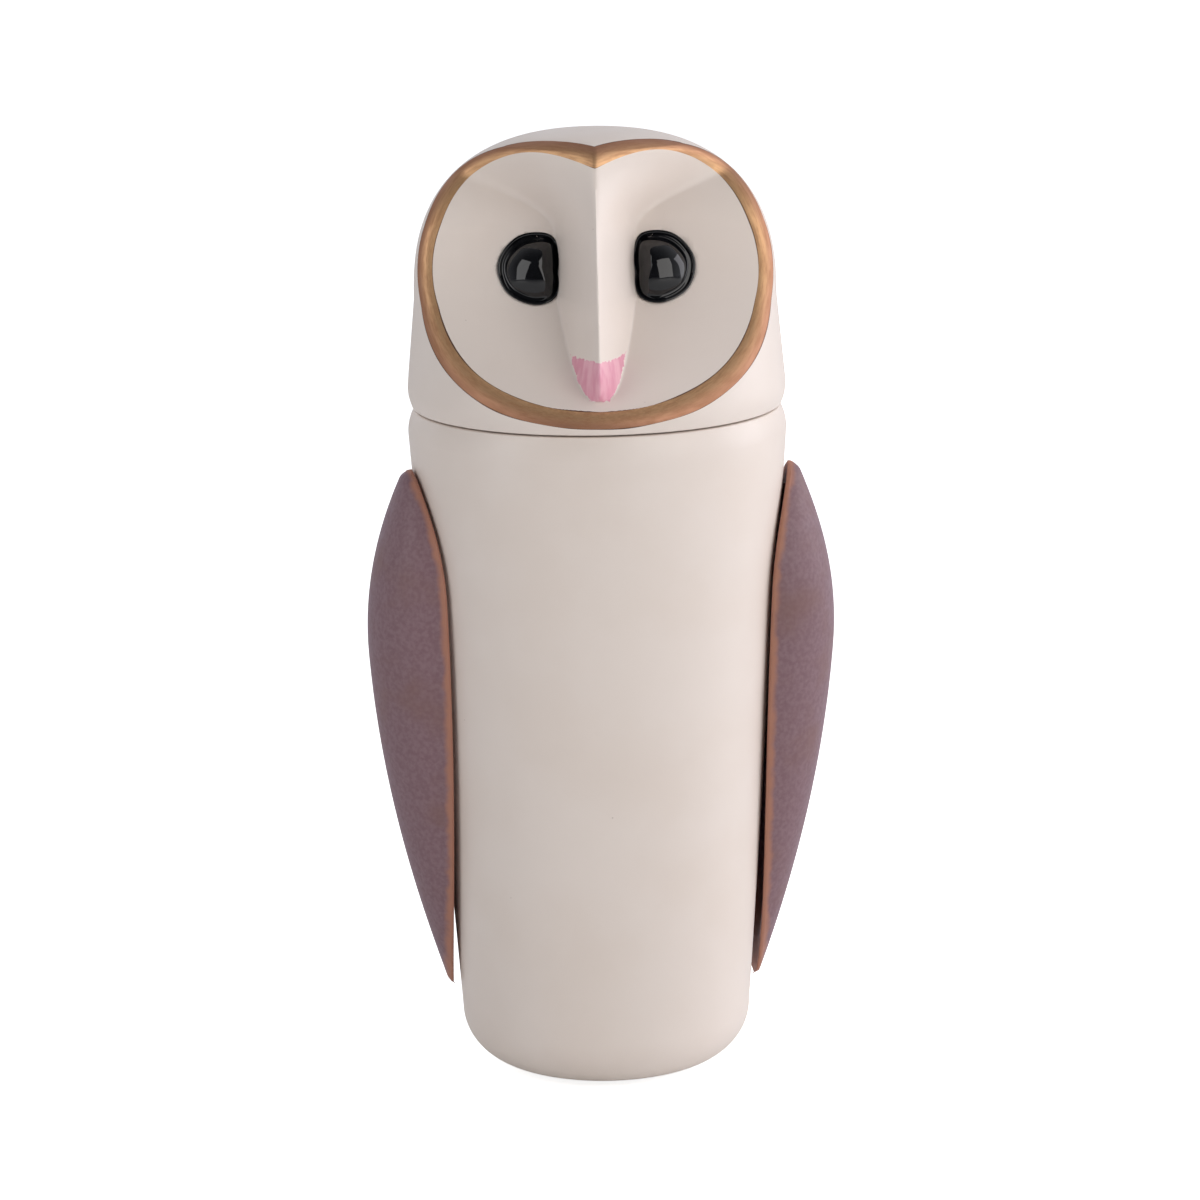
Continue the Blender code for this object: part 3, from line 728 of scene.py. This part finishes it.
# %% [markdown]
# ## Wings
#
# A wing is a leaf-shaped shell, open towards the body. It hugs the body's curve, so its rim lies on a cone a
# millimetre or two wider than the body. The sphere's trick is used again: each ring of a sphere becomes one
# level cross-section of the leaf, out along the shell, round the rolled rim, and back along the inner face.

# %% Wing sizes
right_low, right_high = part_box("right_wing")
left_low, left_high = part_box("left_wing")
WING_TOP_Z, WING_LOW_Z = right_high.z, right_low.z
WING_RISE = {-1.0: left_high.z - right_high.z, 1.0: 0.0}
WING_WIDE_Z, WING_DEEP_Z = 128.0 * MM, 112.0 * MM
WING_HALF, WING_REAR, WING_OUT, WING_TIP = 18.4 * MM, 1.25, 16.2 * MM, 3.0 * MM
TIP_ROUND = 2.4 * MM
WING_LEAN = (-6.0 * MM, 3.0 * MM)
WING_WALL = 3.6 * MM
RIM_GAP_TOP, RIM_GAP_LOW = 0.8 * MM, 2.2 * MM
RIM_ROUND = 1.2 * MM
BOSS_R, BOSS_GAP, PEG_HOLE_R = 6.0 * MM, 3.2 * MM, 3.15 * MM
OUTER, CORNER, RIM, INNER = 64, 6, 4, 44         # columns of the shell, each rolled corner, rim and inner face
LOOP = OUTER + 2 * CORNER + 2 * RIM + INNER
LEVELS = 150


def rim_radius(z):
    """The cone that the wings' rims lie on."""
    share = (z - 5.0 * MM) / (170.0 * MM)
    return body_radius(z) + RIM_GAP_LOW + (RIM_GAP_TOP - RIM_GAP_LOW) * share


# %% Leaf outline
def wing_middle(z):
    return WING_LEAN[0] + (WING_LEAN[1] - WING_LEAN[0]) * (WING_TOP_Z - z) / (WING_TOP_Z - WING_LOW_Z)


def wing_half(z):
    up = np.clip((z - WING_WIDE_Z) / (WING_TOP_Z - WING_WIDE_Z), 0.0, 1.0)
    down = np.clip((WING_WIDE_Z - z) / (WING_WIDE_Z - WING_LOW_Z), 0.0, 1.0)
    share = (1.0 - up ** 2.2) ** 0.75 * (1.0 - down ** 2) ** 0.55
    return WING_TIP / 2.0 + (WING_HALF - WING_TIP / 2.0) * share


def wing_depth(z):
    span = np.where(z > WING_DEEP_Z, WING_TOP_Z - WING_DEEP_Z, WING_LOW_Z - WING_DEEP_Z)
    share = np.clip((z - WING_DEEP_Z) / span, 0.0, 1.0)
    return WING_TIP + (WING_OUT - WING_TIP) * (1.0 - share ** 2) ** 1.05


def level_oval(z, inset, end_inset):
    """Centre, depth and half-width of the leaf's oval at a level, drawn in by inset."""
    top_z, low_z = WING_TOP_Z - end_inset, WING_LOW_Z + 1.4 * end_inset
    left = np.clip(np.minimum(top_z - z, z - low_z) / TIP_ROUND, 0.0, 1.0)
    close = np.sqrt(1.0 - (1.0 - left) ** 2)
    centre = body_radius(z) + 1.9 * MM - 4.6 * MM * (wing_half(z) / WING_HALF) ** 0.7
    deep = np.maximum(body_radius(z) + wing_depth(z) - centre - inset, 0.5 * MM) * close
    half = np.maximum(wing_half(z) - inset, 0.5 * MM) * close
    return centre, deep, half


def oval_point(z, oval, angle):
    centre, deep, half = oval
    half = np.where(np.sin(angle) > 0.0, half * WING_REAR, half)
    return np.stack([centre + deep * np.cos(angle), wing_middle(z) + half * np.sin(angle)], axis=-1)


def rim_angle(z, oval, side):
    """Angle at which an oval dips below the rim's cone, on the front (-1) or rear (1). 0 if it never rises."""
    low, high = np.zeros_like(z), np.full_like(z, 2.4)
    for _ in range(40):
        middle = (low + high) / 2.0
        outside = np.hypot(*oval_point(z, oval, side * middle).T) > rim_radius(z)
        low, high = np.where(outside, middle, low), np.where(outside, high, middle)
    return side * low


# %% Wing cross-section
def on_cone(z, y_from, y_to, share):
    """A point of the rim's cone between two angles round the body."""
    turn = y_from + (y_to - y_from) * share
    return np.stack([rim_radius(z) * np.cos(turn), rim_radius(z) * np.sin(turn)], axis=-1)


def rolled_corner(z, oval, corner_angle, rim_to, steps):
    """A rolled corner from the shell (first) to the rim (last), as a quadratic curve."""
    corner = oval_point(z, oval, corner_angle)
    before = oval_point(z, oval, corner_angle * 0.98)
    along = before - corner
    along /= np.maximum(np.linalg.norm(along, axis=-1, keepdims=True), 1e-9)
    turn = np.arctan2(corner[:, 1], corner[:, 0])
    width = np.abs(rim_to - turn) * rim_radius(z)
    roll = np.minimum(RIM_ROUND, 0.45 * width)
    start = corner + along * roll[:, None]
    end = on_cone(z, turn, rim_to, roll / np.maximum(width, 1e-9))
    shares = np.linspace(0.0, 1.0, steps + 1)
    return [(1 - t) ** 2 * start + 2 * t * (1 - t) * corner + t ** 2 * end for t in shares], roll, width


def wing_loop(z):
    """The closed cross-section at each level, as LOOP columns of (x, y)."""
    outer, inner = level_oval(z, 0.0, 0.0), level_oval(z, WING_WALL, 6.0 * MM)
    front, rear = rim_angle(z, outer, -1.0), rim_angle(z, outer, 1.0)
    inner_front, inner_rear = rim_angle(z, inner, -1.0), rim_angle(z, inner, 1.0)
    hollow = np.hypot(*oval_point(z, inner, 0.0 * z).T) > rim_radius(z)
    inner_turn = {}
    for side, angle in ((-1.0, inner_front), (1.0, inner_rear)):
        at = oval_point(z, inner, angle)
        flat = np.arctan2(wing_middle(z), rim_radius(z))
        inner_turn[side] = np.where(hollow, np.arctan2(at[:, 1], at[:, 0]), flat)
    rear_corner, rear_roll, rear_width = rolled_corner(z, outer, rear, inner_turn[1.0], CORNER)
    front_corner, front_roll, front_width = rolled_corner(z, outer, front, inner_turn[-1.0], CORNER)
    columns = list(reversed(front_corner))
    first = oval_angle(z, outer, front, front_roll)
    last = oval_angle(z, outer, rear, rear_roll)
    for t in np.linspace(0.0, 1.0, OUTER + 1)[1:-1]:
        columns.append(oval_point(z, outer, first + (last - first) * t))
    columns += rear_corner
    ends = {}
    for side, angle in ((-1.0, front), (1.0, rear)):
        at = oval_point(z, outer, angle)
        ends[side] = np.arctan2(at[:, 1], at[:, 0])
    rear_start = rear_roll / np.maximum(rear_width, 1e-9)
    for t in np.linspace(0.0, 1.0, RIM + 1)[1:]:
        columns.append(on_cone(z, ends[1.0], inner_turn[1.0], rear_start + (1.0 - rear_start) * t))
    for t in np.linspace(0.0, 1.0, INNER + 1)[1:]:
        at = oval_point(z, inner, inner_rear + (inner_front - inner_rear) * t)
        flat = on_cone(z, inner_turn[1.0], inner_turn[-1.0], t)
        columns.append(np.where(hollow[:, None], at, flat))
    front_start = front_roll / np.maximum(front_width, 1e-9)
    for t in np.linspace(1.0, 0.0, RIM + 1)[1:-1]:
        columns.append(on_cone(z, ends[-1.0], inner_turn[-1.0], front_start + (1.0 - front_start) * t))
    return np.stack(columns)


def oval_angle(z, oval, corner, roll):
    """The oval's angle where a rolled corner starts."""
    speed = np.linalg.norm(oval_point(z, oval, corner) - oval_point(z, oval, corner * 0.98), axis=-1)
    speed = speed / np.maximum(np.abs(corner) * 0.02, 1e-9)
    return corner - np.sign(corner) * np.minimum(roll / np.maximum(speed, 1e-9), np.abs(corner) * 0.5)


# %% Wing shell
def make_wing(name, side):
    bpy.ops.object.select_all(action="DESELECT")
    bpy.ops.mesh.primitive_uv_sphere_add(segments=LOOP, ring_count=LEVELS, radius=1.0)
    wing = bpy.context.object
    wing.name = name
    ball = points_of(wing)
    column = np.rint(np.arctan2(ball[:, 1], ball[:, 0]) / (2.0 * math.pi) * LOOP).astype(int) % LOOP
    level = np.rint(np.arccos(np.clip(ball[:, 2], -1.0, 1.0)) / math.pi * LEVELS).astype(int)
    up = (np.cos(np.arange(LEVELS + 1) * math.pi / LEVELS) + 1.0) / 2.0
    heights = WING_LOW_Z + (WING_TOP_Z - WING_LOW_Z) * up
    loops = wing_loop(np.clip(heights, WING_LOW_Z + 1e-7, WING_TOP_Z - 1e-7))
    at = loops[column, level]
    move_points(wing, np.stack([side * at[:, 0], at[:, 1], heights[level] + WING_RISE[side]], axis=-1))
    only(wing)
    bpy.ops.object.mode_set(mode="EDIT")
    bpy.ops.mesh.select_all(action="SELECT")
    bpy.ops.mesh.remove_doubles(threshold=1e-6)
    if side < 0.0:
        bpy.ops.mesh.flip_normals()
    bpy.ops.object.mode_set(mode="OBJECT")
    return wing


def add_bosses(wing, side, name):
    """Fuse the two bosses inside a wing and drill them for the pegs."""
    for place in ("upper", "lower"):
        low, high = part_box(f"{name}_wing_peg_{place}")
        middle = (low + high) / 2.0
        z = middle.z - WING_RISE[side]
        shell = body_radius(z) + float(wing_depth(np.array(z)))
        reach = sorted((side * (body_radius(z) + BOSS_GAP), side * (shell - WING_WALL / 2.0)))
        boolean(wing, rod_x((middle.y, middle.z), BOSS_R, *reach), "UNION")
        reach = sorted((side * (body_radius(z) - WALL), side * (shell - WING_WALL)))
        boolean(wing, rod_x((middle.y, middle.z), PEG_HOLE_R, *reach))


def paint_rim(wing, side):
    """Store how far, in mm, each point stands out from the rim's cone."""
    x, y, z = points_of(wing).T
    out = np.hypot(x, y) - rim_radius(z - WING_RISE[side])
    guide = wing.data.attributes.new("from_rim", "FLOAT", "POINT")
    guide.data.foreach_set("value", (out / MM).astype(np.float32))


wings = {}
for name, side in (("left", -1.0), ("right", 1.0)):
    wings[name] = make_wing(f"{name}_wing_shell", side)
    add_bosses(wings[name], side, name)
    paint_rim(wings[name], side)
    print(f"{name} wing:", len(wings[name].data.vertices), "points")

# %% [markdown]
# ## Hidden fittings
#
# Two clay pegs hold each wing in rubber bushes in the body's wall, a silicone ring seals the lid's plug, and a
# felt disc saves the shelf. All of them are turned shapes, so the same ring-pulling helper makes them. Pegs and
# bushes are pulled upright and then laid along X.


# %% Lay a turned piece along X
def lay_along_x(piece, y, z):
    at = points_of(piece)
    move_points(piece, np.stack([at[:, 2], at[:, 0] + y, at[:, 1] + z], axis=-1))


def make_peg(node):
    """A fired clay dowel: chamfered ends and three shallow glue grooves."""
    low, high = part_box(node)
    radius, middle = (high.z - low.z) / 2.0, (low + high) / 2.0
    chamfer, groove, half_groove = 0.6 * MM, 0.35 * MM, 0.5 * MM
    profile = [(radius - chamfer, low.x), (radius, low.x + chamfer)]
    for share in (0.3, 0.5, 0.7):
        x = low.x + (high.x - low.x) * share
        profile += [(radius, x - half_groove), (radius - groove, x), (radius, x + half_groove)]
    profile += [(radius, high.x - chamfer), (radius - chamfer, high.x)]
    peg = pulled(node.replace("_wing_peg_", "_dowel_"), profile, 40)
    lay_along_x(peg, middle.y, middle.z)
    return peg


def make_bush(node):
    """A rubber bush with a rounded flange on each side of the wall."""
    low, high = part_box(node)
    flange_r, middle = (high.z - low.z) / 2.0, (low + high) / 2.0
    bore_r, waist_r, thick, soft = 3.25 * MM, 4.6 * MM, 1.0 * MM, 0.35 * MM
    profile = [(bore_r, low.x + soft), (bore_r + soft, low.x)]
    profile += arc((flange_r - thick / 2.0, low.x + thick / 2.0), thick / 2.0, -90.0, 90.0, 6)
    profile += [(waist_r, low.x + thick), (waist_r, high.x - thick)]
    profile += arc((flange_r - thick / 2.0, high.x - thick / 2.0), thick / 2.0, -90.0, 90.0, 6)
    profile += [(bore_r + soft, high.x), (bore_r, high.x - soft)]
    bush = pulled(node.replace("_grommet_", "_bush_"), profile, 48, closed=True)
    lay_along_x(bush, middle.y, middle.z)
    return bush


def make_seal():
    """A silicone ring with three soft lips."""
    low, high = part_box("lid_seal")
    seal_r, inner_r = high.x, 39.9 * MM
    lip, lips = 0.55 * MM, 3
    profile = [(inner_r, high.z), (inner_r, low.z)]
    for height in np.linspace(low.z, high.z, 12 * lips + 1):
        wave = math.cos((height - low.z) / (high.z - low.z) * 2.0 * math.pi * lips)
        profile.append((seal_r - lip - lip * wave, height))
    return pulled("silicone_ring", profile, 160, closed=True)


def make_pad():
    """A die-cut felt disc with a crushed edge."""
    low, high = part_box("base_pad")
    edge = (high.z - low.z) / 2.0
    profile = [(high.x - 3.0 * MM, low.z)] + arc((high.x - edge, low.z + edge), edge, -90.0, 90.0, 8)
    return pulled("felt_disc", profile + [(high.x - 3.0 * MM, high.z)], 128)


# %% Make the fittings
PEG_NODES = [f"{side}_wing_peg_{place}" for side in ("left", "right") for place in ("upper", "lower")]
BUSH_NODES = [f"{side}_grommet_{place}" for side in ("left", "right") for place in ("upper", "lower")]
pegs = {node: make_peg(node) for node in PEG_NODES}
bushes = {node: make_bush(node) for node in BUSH_NODES}
silicone_ring = make_seal()
felt_disc = make_pad()
print(len(pegs), "pegs,", len(bushes), "bushes, a ring and a disc")

# %% [markdown]
# ## Finishes
#
# Each finish starts from a Principled shader with the constants of the real material, and gets its pattern
# from noise whose scale is worked out in millimetres. Patterns read Object coordinates, so they stay put when
# a piece moves, or a guide stored in the mesh where they follow the shape.


# %% Start a material
def new_material(name, **constants):
    """A Principled material whose constants sit on the shader's own sockets."""
    made = bpy.data.materials.new(name)
    made.use_nodes = True
    shader = made.node_tree.nodes["Principled BSDF"]
    for socket, value in constants.items():
        shader.inputs[socket.replace("_", " ")].default_value = value
    return made, made.node_tree, shader


def grain(tree, size_mm, detail=2.0, stretch=(1.0, 1.0, 1.0)):
    """Noise with features of about this size, in Object coordinates. Returns its value."""
    place = add_node(tree, "ShaderNodeTexCoord")
    turn = add_node(tree, "ShaderNodeMapping", values={"Scale": stretch}, links={0: place.outputs["Object"]})
    return add_node(tree, "ShaderNodeTexNoise", values={"Scale": 1.0 / (size_mm * MM), "Detail": detail},
                    links={"Vector": turn.outputs[0]}).outputs[0]


def spread(tree, value, low, high, to_low=0.0, to_high=1.0):
    """Map a value from one range to another, smoothly and clamped."""
    return add_node(tree, "ShaderNodeMapRange", values={1: low, 2: high, 3: to_low, 4: to_high},
                    links={0: value}, interpolation_type="SMOOTHSTEP").outputs[0]


def blend_colour(tree, share, first, second):
    """Mix two colours, each a hex code or another node's output."""
    mix = add_node(tree, "ShaderNodeMix", links={0: share}, data_type="RGBA")
    for slot, colour in ((6, first), (7, second)):
        if isinstance(colour, str):
            mix.inputs[slot].default_value = linear(colour)
        else:
            tree.links.new(colour, mix.inputs[slot])
    return mix.outputs[2]


def roughen(tree, shader, height, depth_mm):
    """Bump from a 0 to 1 height, this deep in mm."""
    bump = add_node(tree, "ShaderNodeBump", values={"Strength": 1.0, "Distance": depth_mm * MM},
                    links={"Height": height})
    tree.links.new(bump.outputs[0], shader.inputs["Normal"])


def guide(tree, name):
    return add_node(tree, "ShaderNodeAttribute", attribute_name=name)


# %% [markdown]
# ### Cream satin glaze
#
# A satin glaze is glass full of tiny crystals. It keeps a broad, soft highlight, its colour drifts a little
# with its thickness, and a few iron specks burn through. A fine ripple breaks up the highlight.


# %% Cream glaze
def glaze_base(tree):
    """The drifting cream with its sparse specks, as a colour."""
    drift = spread(tree, grain(tree, 34.0, detail=3.0), 0.35, 0.65)
    cream = blend_colour(tree, drift, "#E5D9D0", "#E8DDD5")
    place = add_node(tree, "ShaderNodeTexCoord")
    cells = add_node(tree, "ShaderNodeTexVoronoi", values={"Scale": 1.0 / (7.0 * MM)},
                     links={"Vector": place.outputs["Object"]})
    chosen = spread(tree, cells.outputs["Color"], 0.72, 0.74)
    dot = spread(tree, cells.outputs["Distance"], 0.020, 0.034, 0.45, 0.0)
    speck = add_node(tree, "ShaderNodeMath", links={0: chosen, 1: dot}, operation="MULTIPLY").outputs[0]
    return blend_colour(tree, speck, cream, "#8C7A6B")


def cream_glaze():
    made, tree, shader = new_material("cream_satin_glaze", IOR=1.5)
    tree.links.new(glaze_base(tree), shader.inputs["Base Color"])
    tree.links.new(spread(tree, grain(tree, 9.0), 0.3, 0.7, 0.36, 0.44), shader.inputs["Roughness"])
    roughen(tree, shader, grain(tree, 1.6), 0.012)
    return made


def head_glaze():
    """The same cream, with the pink beak brushed over it as a glossier glaze."""
    made, tree, shader = new_material("cream_and_pink_glaze", IOR=1.5)
    waver = spread(tree, grain(tree, 1.5), 0.2, 0.8, -0.35, 0.35)
    inside = guide(tree, "beak").outputs["Fac"]
    edge = add_node(tree, "ShaderNodeMath", links={0: inside, 1: waver}, operation="ADD")
    beak = spread(tree, edge.outputs[0], -0.15, 0.2)
    strokes = spread(tree, grain(tree, 2.2, stretch=(1.0, 1.0, 0.3)), 0.35, 0.65)
    pink = blend_colour(tree, strokes, "#E29BB0", "#EDB2C2")
    tree.links.new(blend_colour(tree, beak, glaze_base(tree), pink), shader.inputs["Base Color"])
    satin = spread(tree, grain(tree, 9.0), 0.3, 0.7, 0.36, 0.44)
    rough = add_node(tree, "ShaderNodeMix", links={0: beak, 2: satin}, values={3: 0.2}, data_type="FLOAT")
    tree.links.new(rough.outputs[0], shader.inputs["Roughness"])
    roughen(tree, shader, grain(tree, 1.6), 0.012)
    return made


# %% [markdown]
# ### Gold lustre
#
# The band is metal lustre, brushed on in one pass and fired. Its colour is painted darker from the inner edge
# to the outer, as painted shade where the lip turns away from the light. It is thinnest and darkest at its
# edges, shows the streaks of the brush along the stroke, and is a real metal to light, so it takes its shade
# from the room.


# %% Gold lustre
def gold_lustre():
    made, tree, shader = new_material("brushed_gold_lustre", Metallic=1.0)
    across = guide(tree, "across_lip").outputs["Fac"]
    # Painted shade: the gold darkens from the lip's inner edge to its outer edge, where the lip turns away from
    # the light.
    side = spread(tree, across, -3.0, 1.6)
    gold = blend_colour(tree, side, "#DDB388", "#B0836A")
    streak = add_node(tree, "ShaderNodeTexNoise", values={"Scale": 9.0, "Detail": 4.0, "Roughness": 0.65},
                      links={"Vector": guide(tree, "stroke").outputs["Vector"]}).outputs[0]
    gold = blend_colour(tree, spread(tree, streak, 0.35, 0.7, 0.0, 0.5), gold, "#A87C5E")
    # Dark rim at both edges of the band: at the inner edge the lustre thins out; at the outer edge it is also a
    # painted shadow line where the band steps above the dome.
    inner = spread(tree, across, -3.6, -3.25, 1.0, 0.0)
    outer = spread(tree, across, 1.7, 2.0)
    edge = add_node(tree, "ShaderNodeMath", links={0: inner, 1: outer}, operation="MAXIMUM").outputs[0]
    gold = blend_colour(tree, edge, gold, "#6E5347")
    tree.links.new(gold, shader.inputs["Base Color"])
    tree.links.new(spread(tree, streak, 0.3, 0.7, 0.48, 0.62), shader.inputs["Roughness"])
    roughen(tree, shader, grain(tree, 1.2), 0.008)
    return made


# %% [markdown]
# ### Mauve matt glaze
#
# The wings' glaze is matt and full of iron. It runs thin over the rims as it melts, and there the clay's
# terracotta shows through. A fine mottle and a faint lilac bloom keep it from looking like paint.


# %% Mauve glaze
def mauve_glaze():
    made, tree, shader = new_material("mauve_matt_glaze", IOR=1.5, Sheen_Weight=0.25,
                                      Sheen_Roughness=0.4, Sheen_Tint=linear("#C9C2DA"))
    mottle = spread(tree, grain(tree, 1.1, detail=3.0), 0.3, 0.7)
    mauve = blend_colour(tree, mottle, "#7A5C63", "#856970")
    clouds = spread(tree, grain(tree, 16.0, detail=4.0), 0.45, 0.75, 0.0, 0.6)
    mauve = blend_colour(tree, clouds, mauve, "#7C5A53")
    waver = spread(tree, grain(tree, 5.0), 0.2, 0.8, -0.5, 0.5)
    out = add_node(tree, "ShaderNodeMath", links={0: guide(tree, "from_rim").outputs["Fac"], 1: waver},
                   operation="ADD").outputs[0]
    thin = spread(tree, out, 1.0, 2.6, 1.0, 0.0)
    tree.links.new(blend_colour(tree, thin, mauve, "#A97560"), shader.inputs["Base Color"])
    tree.links.new(spread(tree, grain(tree, 2.5), 0.3, 0.7, 0.5, 0.62), shader.inputs["Roughness"])
    roughen(tree, shader, grain(tree, 0.9, detail=3.0), 0.02)
    return made


# %% [markdown]
# ### Small finishes
#
# Black gloss glaze is nearly a mirror and shows no colour of its own. Bisque is chalky. Rubber and silicone
# have a fine mould grain, and felt is a mat of loose fibres that lights up at a flat angle.


# %% Small finishes
def black_gloss():
    made, tree, shader = new_material("black_gloss_glaze", IOR=1.52, Roughness=0.05)
    tone = blend_colour(tree, spread(tree, grain(tree, 3.0), 0.3, 0.7), "#050609", "#0A0B0F")
    tree.links.new(tone, shader.inputs["Base Color"])
    roughen(tree, shader, grain(tree, 2.5), 0.006)
    return made


def bisque():
    made, tree, shader = new_material("bisque_clay", Roughness=0.85)
    tone = blend_colour(tree, spread(tree, grain(tree, 0.7, detail=4.0), 0.3, 0.7), "#BC9A86", "#CDB09D")
    tree.links.new(tone, shader.inputs["Base Color"])
    roughen(tree, shader, grain(tree, 0.5, detail=4.0), 0.05)
    return made


def silicone():
    made, tree, shader = new_material("cast_silicone", IOR=1.41, Roughness=0.45, Subsurface_Weight=0.15,
                                      Subsurface_Radius=(1.5 * MM, 1.3 * MM, 1.1 * MM))
    tone = blend_colour(tree, grain(tree, 4.0), "#DEDCD6", "#E7E5E0")
    tree.links.new(tone, shader.inputs["Base Color"])
    roughen(tree, shader, grain(tree, 0.6), 0.01)
    return made


def rubber():
    made, tree, shader = new_material("moulded_rubber", IOR=1.52, Roughness=0.7)
    tone = blend_colour(tree, grain(tree, 1.0), "#262626", "#333231")
    tree.links.new(tone, shader.inputs["Base Color"])
    roughen(tree, shader, grain(tree, 0.4), 0.02)
    return made


def felt():
    made, tree, shader = new_material("wool_felt", Roughness=0.95, Sheen_Weight=0.6, Sheen_Roughness=0.5)
    fibres = grain(tree, 0.35, detail=4.0, stretch=(1.0, 0.4, 1.0))
    tone = blend_colour(tree, spread(tree, fibres, 0.3, 0.7), "#37342F", "#57534D")
    tree.links.new(tone, shader.inputs["Base Color"])
    roughen(tree, shader, fibres, 0.15)
    return made


# %% Put the finishes on
cream, mauve, black, clay = cream_glaze(), mauve_glaze(), black_gloss(), bisque()
stoneware_body.data.materials.append(cream)
for finish in (head_glaze(), gold_lustre()):
    stoneware_head.data.materials.append(finish)
for eye in eyes.values():
    eye.data.materials.append(black)
for wing in wings.values():
    wing.data.materials.append(mauve)
for peg in pegs.values():
    peg.data.materials.append(clay)
black_rubber = rubber()
for bush in bushes.values():
    bush.data.materials.append(black_rubber)
silicone_ring.data.materials.append(silicone())
felt_disc.data.materials.append(felt())

# %% Ride on the frame
finish_piece(stoneware_body, "body", ["body_vessel"])
finish_piece(stoneware_head, "head", ["head_lid"], smooth=50.0)
finish_piece(silicone_ring, "seal", ["lid_seal"], smooth=60.0)
finish_piece(felt_disc, "body", ["base_pad"])
for side in ("left", "right"):
    finish_piece(eyes[side], "head", [f"{side}_eye"], smooth=60.0)
    finish_piece(wings[side], f"wing_{side}", [f"{side}_wing"], smooth=50.0)
for node, peg in pegs.items():
    finish_piece(peg, "wing_" + node.split("_")[0], [node])
for node, bush in bushes.items():
    finish_piece(bush, "body", [node])
